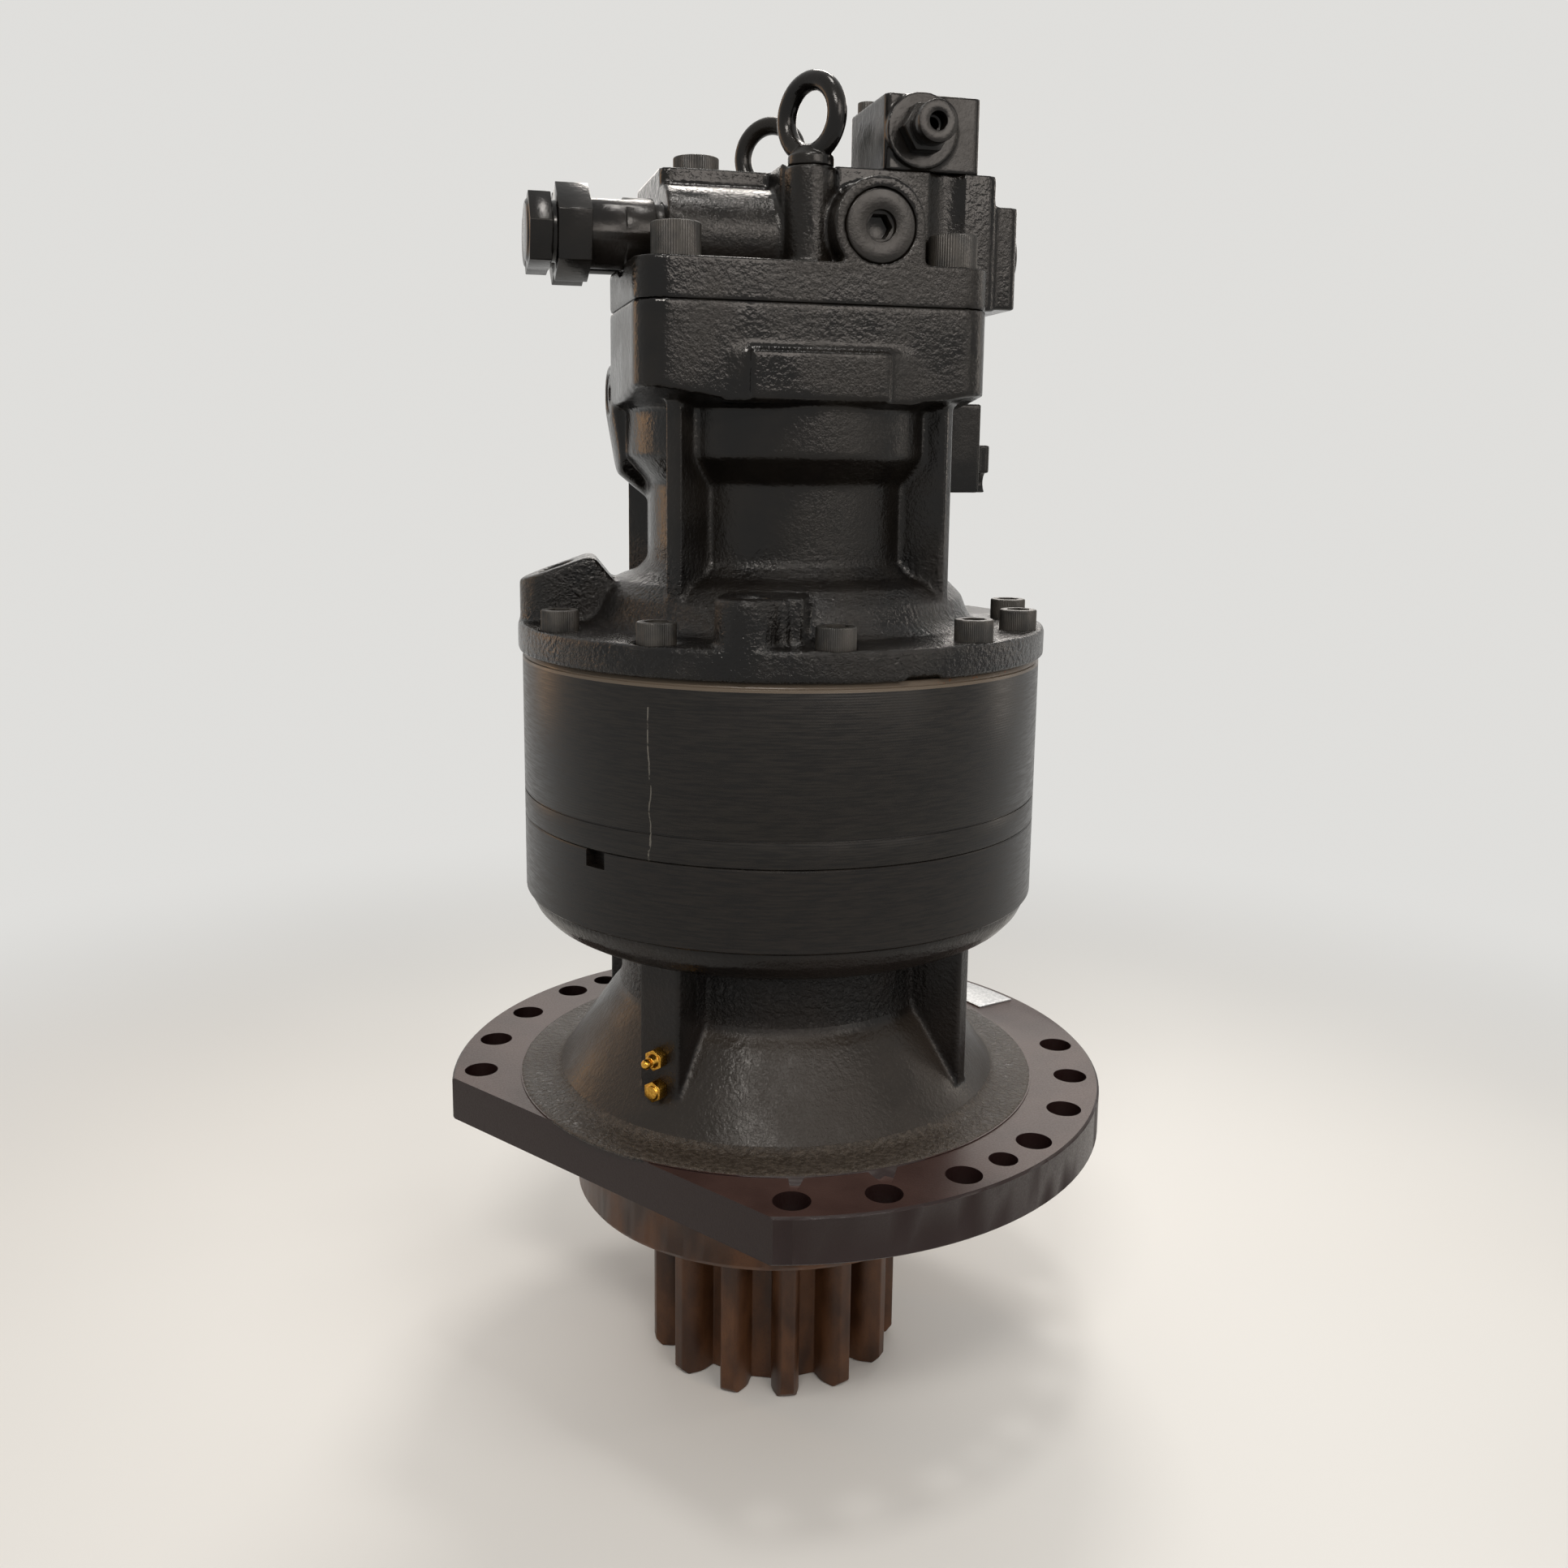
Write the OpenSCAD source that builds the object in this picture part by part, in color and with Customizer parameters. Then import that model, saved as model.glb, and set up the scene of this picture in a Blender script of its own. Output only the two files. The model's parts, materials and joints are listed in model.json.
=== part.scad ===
// Swing motor of an excavator: a hydraulic axial piston motor with a disc brake on top of a
// two stage planetary gearbox, whose pinion drives the slewing ring.
// Origin: centre of the mounting flange's lower face. +Z points up, towards the motor.
// The gearbox stands square to X and Y. The motor is built in its own frame and turned about Z.

/* [Mounting flange] */
// Radius of the mounting flange
flange_r = 228.5; // [222:0.5:240]
// Thickness of the mounting flange
flange_t = 30; // [24:1:36]
// Height of the machined ring on the flange
flange_step = 1.3; // [0.5:0.1:4]
// Width of the flange outside the machined ring
flange_rim = 46.9; // [42.5:0.1:52.5]
// Depth of the flat cut on the flange's edge
flat_depth = 52.5; // [28:0.5:58]
// Distance from the flange's edge to the circle of mounting holes
hole_edge = 19.5; // [16.5:0.5:24]
// Radius of a mounting hole, clearance for M22
hole_r = 11.5; // [9:0.25:13]
// Radius of a jacking screw hole
jack_r = 9.25; // [6:0.25:11]
// Angle between neighbouring mounting holes
hole_pitch = 15.25; // [13:0.05:15.5]
// Angle from the middle of a group of holes to its end hole
hole_span = 47.5; // [46:0.25:50]
// Radius of the spigot that centres the flange
spigot_r = 142; // [135:0.5:146]
// Length of the spigot below the flange
spigot_l = 55; // [48:1:70]

/* [Pinion and output shaft] */
// Teeth of the output pinion
pinion_teeth = 13; // [11:1:15]
// Module of the output pinion
pinion_m = 12; // [10:0.5:12]
// Tooth height above the pitch circle, in modules
pinion_addendum = 0.875; // [0.75:0.025:1]
// Face width of the pinion
pinion_w = 104; // [80:1:120]
// Distance from the end of the spigot to the pinion
pinion_gap = 23; // [15:1:30]
// Radius of the seal surface on the output shaft
seal_seat_r = 66; // [62:0.5:70]
// Radius of the output shaft in the lower bearing
shaft_lower_r = 60; // [52:0.5:61]
// Radius of the output shaft in the upper bearing
shaft_upper_r = 47; // [42:0.5:50]

/* [Output bearings] */
// Outer radius of the lower bearing
lower_bearing_r = 108; // [100:0.5:112]
// Height of the lower bearing
lower_bearing_w = 52; // [40:1:56]
// Outer radius of the upper bearing
upper_bearing_r = 82; // [76:0.5:84]
// Height of the upper bearing
upper_bearing_w = 40; // [30:1:44]
// Space between the two bearings
bearing_space = 52; // [44:1:56]

/* [Output housing] */
// Radius of the housing above its bowl, shared by the ring gear
housing_r = 175; // [172:0.5:180]
// Height of the joint between housing and ring gear
housing_top = 218.7; // [214:0.5:226]
// Radius of the neck
neck_r = 99; // [97:0.5:110]
// Radius of the foot of the cone
foot_r = 152; // [145:0.5:158]
// Height of the neck
neck_z = 76; // [68:1:82]
// Radius of the rim under the bowl
bowl_r = 150; // [146:0.5:156]
// Height of the rim under the bowl
bowl_z = 108; // [104:1:116]
// Thickness of the bowl and the wall
housing_wall = 17; // [15:0.5:20]
// Number of ribs between cone and bowl
ribs = 6; // [4:1:7]
// Thickness of a rib
rib_t = 14; // [9:0.5:18]
// Reach of a rib from the axis
rib_r = 136; // [126:1:145]
// Width of the rib that carries the grease fittings
boss_rib_w = 30; // [26:1:36]

/* [Ring gear] */
// Height of the ring gear
ring_h = 110.3; // [108:0.5:116]
// Teeth of the ring gear
ring_teeth = 57; // [57:3:57]
// Thickness of the ring gear outside its teeth
ring_wall = 26.25; // [25:0.25:28]
// Reduction of each tooth thickness, for backlash
backlash = 0.2; // [0.15:0.05:0.35]
// Height of the fine groove round the ring gear, above its lower face
groove_z = 16.7; // [10:0.5:40]
// Width of the fine groove
groove_w = 1.2; // [0.6:0.1:3]

/* [Planet stages] */
// Teeth of the first sun gear
sun_1_teeth = 15; // [15:3:15]
// Teeth of the second sun gear
sun_2_teeth = 21; // [21:3:21]
// Planets in each stage
planets = 3; // [3:1:3]
// Face width of the second stage
stage_2_w = 42; // [34:1:44]
// Face width of the first stage
stage_1_w = 28; // [20:1:30]
// Radius of a planet pin of the second stage
pin_2_r = 20; // [16:0.5:24]
// Radius of a planet pin of the first stage
pin_1_r = 17; // [13:0.5:22]
// Thickness of the second carrier's lower plate
carrier_2_t = 24; // [18:1:28]
// Thickness of the other carrier plates
carrier_plate_t = 7; // [5:0.5:8]
// Height of the second carrier's hub
carrier_hub_l = 112; // [90:1:114]

/* [Motor casing] */
// Angle of the motor about the axis, from the gearbox's front
motor_yaw = 14.4; // [0:0.1:30]
// Step of the casing's lower flange past the ring gear
casing_rim = 2.8; // [1:0.1:7]
// Thickness of the casing's lower flange
casing_flange_t = 19.6; // [16:0.2:24]
// Radius of the skirt over the lower flange
skirt_r = 126; // [122:0.5:130]
// Height of the skirt
skirt_h = 36; // [30:1:40]
// Radius of the lower barrel
barrel_r = 91; // [89:0.5:96]
// Radius of the upper barrel
barrel_top_r = 106; // [104:0.5:110]
// Height above the ring gear at which the barrel widens
barrel_step = 112; // [108:1:114]
// Reach of the four corner ribs
corner_rib_r = 121.5; // [115:0.5:128]
// Thickness of the four corner ribs
corner_rib_t = 11; // [8:0.5:16]
// Height of the square flange
square_h = 60; // [54:1:64]
// Distance from the axis to the left side of the square flange
square_left = 115; // [112:0.5:120]
// Distance from the axis to the right side of the square flange
square_right = 106; // [104:0.5:110]
// Distance from the axis to the front of the square flange
square_front = 105; // [103:0.5:110]
// Corner radius of the square flange
square_corner = 19; // [12:0.5:21]
// Height of the motor casing
casing_h = 218.5; // [216:0.5:226]
// Length of a casing screw's threaded end below the ring gear
casing_screw_grip = 30; // [20:1:36]
// Distance from the ring gear's outer face to the circle of casing screws
screw_edge = 13.25; // [12.75:0.25:14]
// Depth of the seats of the casing screws' heads
head_seat = 3.6; // [1:0.2:6]

/* [Piston group] */
// Angle of the swash plate
swash_angle = 16; // [12:0.5:17]
// Radius of the swash plate
swash_r = 68; // [64:0.5:72]
// Radius of the circle of pistons
piston_circle_r = 43; // [41:0.5:44]
// Number of pistons
pistons_n = 9; // [7:2:9]
// Radius of a piston
piston_r = 10; // [8:0.25:11]
// Length of a piston's body
piston_l = 48; // [40:1:54]
// Radius of the cylinder block
block_r = 62; // [60:0.5:63]
// Height of the cylinder block
block_h = 90; // [84:1:92]
// Height of the cylinder block above the middle of the swash plate
block_lift = 38.6; // [38:0.2:40]
// Radius of the motor shaft at its spline
motor_shaft_r = 19; // [17:0.25:20]

/* [Brake] */
// Number of friction discs
discs_n = 3; // [2:1:3]
// Thickness of a brake disc
disc_t = 3.2; // [2.6:0.1:3.4]
// Outer radius of the separator plates
separator_r = 88; // [86:0.5:89]
// Outer radius of the brake piston
brake_piston_r = 95; // [93:0.5:97]
// Height of the brake piston's wide end
brake_piston_h = 17.9; // [17:0.1:20]
// Travel of the brake piston when the brake is released
brake_lift = 1.5; // [1:0.1:2]
// Number of brake springs
springs_n = 8; // [6:1:10]

/* [Valve cover] */
// Thickness of the valve cover's base
cover_t = 24.5; // [22:0.5:28]
// Height of the blocks on the valve cover
cover_h = 84; // [82:0.5:90]
// Radius of a relief valve's bore boss
relief_boss_r = 31; // [28:0.5:33]
// Height of the front relief valve above the joint
relief_z = 42.5; // [40:0.5:46]
// Radius of a check valve plug
check_plug_r = 22; // [20:0.25:23]
// Radius of the boss round the front check valve plug
check_boss_r = 29; // [27:0.5:31]
// Radius of an oil port
port_r = 15; // [12:0.25:17]
// Depth of an oil port
port_depth = 22; // [16:1:26]
// Half the distance between the two oil ports
port_half = 31; // [28:0.5:31]

/* [Clearances] */
// Radial clearance of a shaft that turns in a bore
running = 0.05; // [0.02:0.01:0.08]
// Radial clearance of a piece that is fixed in its seat
seat = 0.02; // [0:0.01:0.05]
// Gap between pieces that move past each other face to face
face_gap = 0.3; // [0.2:0.05:0.4]
// Radial clearance of a screw in a through hole
screw_clear = 0.75; // [0.3:0.05:1]

/* [Hidden] */
$fn = 72;

// Directions in degrees from +X, anticlockwise from above
hole_axis = -39.7;
flat_dir = 230.2;
screw_dirs = [210.6, 243.1, 281.4, 316.8, 343.3, 9.8, 45, 77, 109, 141, 172];
boss_rib_dir = 238;
front_lug_dir = 262.8;
left_lug_dir = 188;
housing_notch_dir = 230.2;
casing_notch_dir = 298.6;

// Gear sizes
pressure_angle = 20;
addendum = 1;
dedendum = 1.25;
ring_addendum = 0.86;
gear_m = (housing_r - ring_wall) / (ring_teeth / 2 + dedendum);
planet_1_teeth = (ring_teeth - sun_1_teeth) / 2;
planet_2_teeth = (ring_teeth - sun_2_teeth) / 2;
centre_1 = gear_m * (sun_1_teeth + planet_1_teeth) / 2;
centre_2 = gear_m * (sun_2_teeth + planet_2_teeth) / 2;
ring_root_r = housing_r - ring_wall;

// Radii that follow the flange and the ring gear
flange_step_r = flange_r - flange_rim;
flange_flat = flange_r - flat_depth;
hole_circle_r = flange_r - hole_edge;
casing_flange_r = housing_r + casing_rim;
screw_circle_r = housing_r - screw_edge;

// Heights of the gearbox, from the flange's lower face up
pinion_top = -spigot_l - pinion_gap;
pinion_end = pinion_top - pinion_w;
lower_bearing_z = -spigot_l + 17;
upper_bearing_z = lower_bearing_z + lower_bearing_w + bearing_space;
shaft_top = housing_top - 24;
ring_top = housing_top + ring_h;
stage_2_z = housing_top + 6;
carrier_2_z = stage_2_z - face_gap - carrier_2_t;
carrier_2_top = stage_2_z + stage_2_w + face_gap;
carrier_1_z = carrier_2_top + carrier_plate_t + 4;
stage_1_z = carrier_1_z + carrier_plate_t + face_gap;
carrier_1_top = stage_1_z + stage_1_w + face_gap;
cavity_r = ring_root_r + 1.5;
cone_top_z = flange_t + flange_step;
bowl_turn_z = bowl_z + 42;
inner_neck_r = upper_bearing_r - 6;
fitting_heights = [cone_top_z + 48, cone_top_z + 27];
carrier_r = ring_root_r - gear_m * (dedendum + ring_addendum) - 4;
web_2_r = 20;
web_1_r = 16;
web_2_at = centre_2 + 9;
web_1_at = centre_1 + 17;

// Splines: teeth and module
out_spline_z = 22;
out_spline_m = 3.5;
motor_spline_z = 14;
motor_spline_m = 2 * motor_shaft_r / (motor_spline_z + 2);
spline_fit = 0.12;

// Heights of the motor, from the ring gear's top up
casing_top = ring_top + casing_h;
barrel_step_z = ring_top + barrel_step;
square_z = casing_top - square_h;
block_z = casing_top - block_h - 6.4;
swash_mid = block_z - block_lift;
swash_z = swash_mid - 23;
low_race_r = 45;
low_race_w = 22;
low_race_bore = 24;
low_race_z = swash_z - 2.5 - low_race_w;
motor_seal_h = 9;
motor_seal_r = 33;
motor_seal_z = low_race_z - 2 - motor_seal_h;
swash_bore = 27;
swash_cavity_r = swash_r + 8;
shoe_t = 5;
ball_lift = 11;
ball_r = 6;
ball_fit = 0.15;
shoe_shift = ball_lift * tan(swash_angle);
block_floor_z = block_z + block_h * 0.4;
block_spring_h = block_h * 0.4;
piston_start = 10;
block_teeth = 40;
shaft_neck_r = motor_spline_m * (motor_spline_z - 1) / 2 - 0.2;
brake_piston_top = casing_top - 16 - brake_lift;
brake_step_z = brake_piston_top - brake_piston_h;
discs_top = brake_step_z - 11;
disc_pitch = disc_t + 0.1;
disc_z = discs_top - (2 * discs_n + 1) * disc_pitch;
disc_inner_r = block_r + 3;
brake_bore_r = 70;
spring_r = 5.4;
spring_wire = 1.3;
spring_circle_r = 83;
spring_pocket = 12;
valve_plate_t = 6;
valve_plate_r = 56;
motor_shaft_end = stage_1_z - 4;
top_race_r = 31;
top_race_w = 19;
top_race_bore = 16;
casing_screw_r = 8;
casing_head_r = 12;
casing_head_h = 16;
screw_head_z = ring_top + casing_flange_t - head_seat;
front_lug_r = 18.5;
front_lug_z = ring_top + 48;
left_lug_r = 24;
left_lug_tilt = 20;
left_lug_z = ring_top + 46;
left_lug_hole = casing_flange_r - 25;

// The valve cover in the motor's own frame: x to the right, y to the back
cover_top = casing_top + cover_h;
base_top = casing_top + cover_t;
cover_screw_r = 10;
cover_head_r = 15;
cover_head_h = 20;
cover_grip = 34;
screw_inset = 17;
corner_dirs = [
  atan2(-square_front, square_right), 180 + atan2(square_front, square_left),
  atan2(square_front, square_right), 180 - atan2(square_front, square_left)
];
cover_screw_places = [
  [-square_left + screw_inset + 9, -square_front + screw_inset, 0],
  [square_right - screw_inset - 5, -square_front + screw_inset, 0],
  [square_right - screw_inset - 5, square_front - screw_inset, 0],
  [-square_left * 0.45, square_front - screw_inset + 5, 0]
];
relief_front_y = -42;
relief_rear_y = 27;
relief_left = -90;
relief_block_right = -18;
relief_rear_rise = 5;
relief_rear_shift = 5;
relief_neck = 8;
relief_thread_l = 30;
relief_poppet_l = 20;
relief_lift = 3;
poppet_seat_gap = 0.3;
relief_bore_l = relief_poppet_l + relief_lift + 2 * poppet_seat_gap;
check_front_x = 32;
check_front_z = casing_top + 46;
check_side_y = -45;
check_side_z = casing_top + 37;
side_block_x = 134;
plug_l = 28;
check_poppet_r = 13;
check_poppet_l = 20;
check_nose = 4;
check_lift = 6;
check_bore_l = check_poppet_l + check_nose + check_lift + 2 * poppet_seat_gap;
block_back = 100;
port_x = 16;
post_x = -4;
post_y = -75;
post_r = 15.5;
rear_eye_x = 4;
rear_eye_y = 60;
eye_hole_r = 15;
eye_wire_r = 6;
eye_collar_r = 14;
eye_shank_r = 6;
eye_shank_l = 18;
eye_ring_z = eye_hole_r + 2 * eye_wire_r + 2;
eye_places = [[post_x, post_y, cover_top - 2], [rear_eye_x, rear_eye_y, cover_top]];
plug_screw_place = [-56, 20, cover_top];
plug_screw_l = 12;
top_block = [43, 105, -75, 0];
top_block_h = 45;
fitting_x = 66;
fitting_z = cover_top - 0.5 + 24;
reversal_screw_places = [[52, -66, 8.5], [96, -66, 8.5], [52, -9, 0], [96, -9, 0]];
spool_r = 7;
spool_l = 27;
spool_travel = 2;
spool_y = -24;
spool_z = cover_top + 22;
spool_bore_x = top_block[0] + 15;
spool_bore_l = spool_l + 2 * spool_travel + 1;
spool_plug_r = spool_r + 1.5;
brake_valve_box = [square_right + 0.2, 143, 3, 45];
brake_valve_z = [square_z - 53.5, square_z + 7.5];
brake_head_x = brake_valve_box[1] - 8.5;
drain_x = -square_left;
drain_y = 20;
drain_z = square_z + 9.5;
drain_r = 12;

// Involute gears. half_angle is half of what a tooth takes at radius r, in degrees.
function involute(a) = tan(a) * 180 / PI - a;
function base_r(m, z) = m * z / 2 * cos(pressure_angle);
function half_angle(m, z, thin, r) =
  90 / z - thin / (m * z / 2) * 180 / PI + involute(pressure_angle)
  - (r > base_r(m, z) ? involute(acos(base_r(m, z) / r)) : 0);
function flank_radii(m, z, low, high, steps) =
  let (start = max(low, base_r(m, z)))
  concat(low < start ? [low] : [], [for (k = [0:steps]) start + (high - start) * k / steps]);
function gear_points(m, z, low, high, thin, steps) = [
  for (i = [0:z - 1])
  let (radii = flank_radii(m, z, low, high, steps), n = len(radii) - 1)
  for (k = [0:2 * n + 1])
  let (r = k <= n ? radii[k] : radii[2 * n + 1 - k])
  let (side = k <= n ? -1 : 1)
  let (a = i * 360 / z + side * half_angle(m, z, thin, r))
  [r * cos(a), r * sin(a)]
];

module gear_outline(m, z, thin = backlash, high = addendum, low = dedendum, steps = 3) {
  polygon(gear_points(m, z, m * (z / 2 - low), m * (z / 2 + high), thin, steps));
}

// Turns that bring every gear into mesh at rest
function sun_turn(zs, zp) = 360 / zs * ((zp - 1) / 2 - floor((zp - 1) / 2));
function planet_turn(dir, zs, zp) = dir + 180 + ((dir - sun_turn(zs, zp)) * zs - 180) / zp;

module spline_outline(z, m, grow) {
  polygon([
    for (i = [0:z - 1])
    for (k = [0:3])
    let (r = m * z / 2 + (k == 1 || k == 2 ? m : -m) / 2 + grow)
    let (a = (i + [-0.36, -0.2, 0.2, 0.36][k]) * 360 / z)
    [r * cos(a), r * sin(a)]
  ]);
}

module at(z) {
  translate([0, 0, z]) children();
}

module ring(z, h, outer, inner) {
  at(z) difference() {
    cylinder(r = outer, h = h);
    at(-1) cylinder(r = inner, h = h + 2);
  }
}

module disc(z, h, r) {
  at(z) cylinder(r = r, h = h);
}

module around(n, start = 0) {
  for (i = [0:n - 1]) rotate([0, 0, start + i * 360 / n]) children();
}

module turned(points) {
  rotate_extrude() polygon(points);
}

// A rectangle with round corners, from its four sides
module rounded_rect(left, right, front, back, r) {
  translate([left + r, front]) square([right - left - 2 * r, back - front]);
  translate([left, front + r]) square([right - left, back - front - 2 * r]);
  for (x = [left + r, right - r]) {
    for (y = [front + r, back - r]) translate([x, y]) circle(r = r);
  }
}

module rounded_block(left, right, front, back, low, high, r) {
  at(low) linear_extrude(high - low) rounded_rect(left, right, front, back, r);
}

// A cylinder along +x or -y that starts at the given point
module along_x(p, l, r) {
  translate(p) rotate([0, 90, 0]) cylinder(r = r, h = l);
}

module along_front(p, l, r) {
  translate(p) rotate([90, 0, 0]) cylinder(r = r, h = l);
}

module hex_prism(flats, h) {
  cylinder(r = flats / sqrt(3), h = h, $fn = 6);
}

// A cap screw that hangs from z = 0: the head stands above, the shank below
module cap_screw(r, l, head_r, head_h, key) {
  difference() {
    cylinder(r = head_r, h = head_h);
    at(head_h * 0.45) hex_prism(key, head_h);
  }
  at(-l) cylinder(r = r, h = l);
}

module motor_frame() {
  rotate([0, 0, motor_yaw]) children();
}

module at_screws(circle_r) {
  for (a = screw_dirs) rotate([0, 0, a]) translate([circle_r, 0, 0]) children();
}

// Mounting holes: two equal groups, each with a wide space that holds the jacking screw hole
module at_mounting_holes() {
  for (side = [0, 180]) {
    for (i = [0:6]) {
      a = i < 3 ? -hole_span + i * hole_pitch : hole_span - (6 - i) * hole_pitch;
      rotate([0, 0, hole_axis + side + a]) translate([hole_circle_r, 0, 0]) children();
    }
  }
}

module at_jack_holes() {
  for (side = [0, 180]) {
    rotate([0, 0, hole_axis + side - hole_pitch / 2]) translate([hole_circle_r, 0, 0]) children();
  }
}

// Output housing: mounting flange, spigot, ribbed cone and the bowl under the ring gear
module housing_rib(thickness, reach) {
  rotate([90, 0, 0]) at(-thickness / 2) linear_extrude(thickness) polygon([
    [neck_r - 12, cone_top_z - 3], [reach + 6, cone_top_z - 3], [reach, cone_top_z + 14],
    [reach, bowl_z - 2], [bowl_r - 4, bowl_z + 6], [neck_r - 12, bowl_z + 6]
  ]);
}

module housing_body() {
  difference() {
    union() {
      turned([
        [0, -spigot_l], [spigot_r - 2, -spigot_l], [spigot_r, -spigot_l + 3], [spigot_r, 0],
        [flange_r - 1, 0], [flange_r, 1], [flange_r, flange_t - 1.5], [flange_r - 1.5, flange_t],
        [flange_step_r, flange_t], [flange_step_r, cone_top_z], [foot_r + 5, cone_top_z],
        [foot_r, cone_top_z + 3], [foot_r - 12, cone_top_z + 12], [neck_r + 6, neck_z - 10],
        [neck_r, neck_z], [neck_r + 4, neck_z + 9], [bowl_r - 10, bowl_z - 4], [bowl_r, bowl_z],
        [housing_r - 6, bowl_turn_z - 12], [housing_r + 1, bowl_turn_z],
        [housing_r + 1, bowl_turn_z + 10], [housing_r, bowl_turn_z + 14],
        [housing_r, housing_top - 1], [housing_r - 1, housing_top], [0, housing_top]
      ]);
      for (i = [1:ribs - 1]) {
        rotate([0, 0, boss_rib_dir + i * 360 / ribs]) housing_rib(rib_t, rib_r);
      }
      rotate([0, 0, boss_rib_dir]) housing_rib(boss_rib_w, rib_r + 4);
    }
    // Flat on the edge of the flange
    rotate([0, 0, flat_dir]) translate([flange_flat, -flange_r, -1]) {
      cube([flange_r, 2 * flange_r, flange_t + 2]);
    }
  }
}

module output_housing() {
  fitting_r = rib_r + 4;
  color("#26241f") difference() {
    housing_body();
    at_mounting_holes() at(-1) cylinder(r = hole_r, h = flange_t + 2);
    at_jack_holes() at(-1) cylinder(r = jack_r, h = flange_t + 2);
    // Bores for the seal and the bearings, then the room for the carrier
    disc(-spigot_l - 1, 18 + seat, seal_seat_r + 19);
    disc(lower_bearing_z, lower_bearing_w, lower_bearing_r + seat);
    disc(lower_bearing_z - 2, upper_bearing_z - lower_bearing_z + 4, inner_neck_r);
    disc(upper_bearing_z, upper_bearing_w + 60, upper_bearing_r + seat);
    turned([
      [0, neck_z + 42], [neck_r - 12, neck_z + 42], [bowl_r - housing_wall - 4, bowl_turn_z - 8],
      [cavity_r, bowl_turn_z + 14], [cavity_r, housing_top + 1], [0, housing_top + 1]
    ]);
    at_screws(screw_circle_r) {
      at(housing_top - casing_screw_grip - 2) cylinder(r = casing_screw_r + seat, h = 40);
    }
    // Cast notch in the upper edge
    rotate([0, 0, housing_notch_dir]) translate([housing_r - 8, -8, housing_top - 11]) cube([12, 16, 12]);
    // Tapped holes of the two grease fittings
    for (z = fitting_heights) {
      rotate([0, 90, boss_rib_dir]) translate([-z, 0, fitting_r - 12]) cylinder(r = 5, h = 20);
    }
  }
}

// Grease nipple above, relief plug below, both on the wide rib
module grease_fittings() {
  fitting_r = rib_r + 4;
  color("#b9974a") rotate([0, 0, boss_rib_dir]) {
    translate([fitting_r, 0, fitting_heights[0]]) rotate([0, 90, 0]) {
      hex_prism(12, 7);
      at(-10) cylinder(r = 4.9, h = 10);
      at(7) cylinder(r1 = 4.6, r2 = 3.4, h = 4);
      at(11) cylinder(r = 2.6, h = 3);
      at(14) sphere(r = 3.3);
    }
    translate([fitting_r, 0, fitting_heights[1]]) rotate([0, 90, 0]) {
      hex_prism(12, 8);
      at(-10) cylinder(r = 4.9, h = 10);
      at(8) cylinder(r1 = 5, r2 = 4.2, h = 1.4);
    }
  }
}

// Bare plate on top of the flange, bent to its edge
module label_plate() {
  color("#b9bdc0") intersection() {
    ring(flange_t, 1, flange_r - 6, flange_step_r + 8);
    rotate([0, 0, 39]) linear_extrude(flange_t + 2) {
      polygon([[0, 0], [flange_r * 2, -flange_r * 0.24], [flange_r * 2, flange_r * 0.24]]);
    }
  }
}

// Output shaft with its pinion, two bearing seats and a spline for the second carrier
module pinion_shaft() {
  pinion_r = pinion_m * (pinion_teeth / 2 + pinion_addendum);
  spline_start = upper_bearing_z + upper_bearing_w - 1;
  color("#3a2a20") difference() {
    union() {
      intersection() {
        at(pinion_end) linear_extrude(pinion_w) {
          gear_outline(pinion_m, pinion_teeth, 0.4, pinion_addendum, 1.15, 5);
        }
        turned([
          [0, pinion_end], [pinion_r - 4, pinion_end], [pinion_r + 1, pinion_end + 5],
          [pinion_r + 1, pinion_top - 5], [pinion_r - 4, pinion_top], [0, pinion_top]
        ]);
      }
      turned([
        [0, pinion_top - 2], [seal_seat_r - 3, pinion_top - 2], [seal_seat_r, pinion_top + 4],
        [seal_seat_r, lower_bearing_z], [shaft_lower_r, lower_bearing_z],
        [shaft_lower_r, lower_bearing_z + lower_bearing_w + 4],
        [shaft_upper_r + 5, lower_bearing_z + lower_bearing_w + 10], [shaft_upper_r + 5, upper_bearing_z],
        [shaft_upper_r, upper_bearing_z], [shaft_upper_r, upper_bearing_z + upper_bearing_w],
        [0, upper_bearing_z + upper_bearing_w]
      ]);
      at(spline_start) linear_extrude(shaft_top - spline_start) {
        spline_outline(out_spline_z, out_spline_m, 0);
      }
    }
    // Centre hole in the pinion's end
    disc(pinion_end - 1, 13, 12);
    disc(pinion_end + 11, 12, 8);
  }
}

// Bearings: outer race, inner race and rollers share the sizes below
function race_t(outer, inner) = (outer - inner) * 0.27;
function roller_size(outer, inner) = (outer - inner) / 2 - race_t(outer, inner) - face_gap / 2;

module outer_race(z, w, outer, inner) {
  ring(z, w, outer, outer - race_t(outer, inner));
}

module inner_race(z, w, outer, inner) {
  ring(z, w, inner + race_t(outer, inner), inner + seat);
}

// Rollers in a cage: the cage is a ring through the rollers' middles, so they are one piece
module roller_set(z, w, outer, inner, n) {
  r = roller_size(outer, inner);
  middle = (outer + inner) / 2;
  around(n) translate([middle, 0, z + 3]) cylinder(r = r, h = w - 6, $fn = 24);
  ring(z + 1, 3, middle + r * 0.6, middle - r * 0.6);
  ring(z + w - 4, 3, middle + r * 0.6, middle - r * 0.6);
}

module output_outer_races() {
  color("#8d9194") {
    outer_race(lower_bearing_z, lower_bearing_w, lower_bearing_r, shaft_lower_r);
    outer_race(upper_bearing_z, upper_bearing_w, upper_bearing_r, shaft_upper_r);
  }
}

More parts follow.
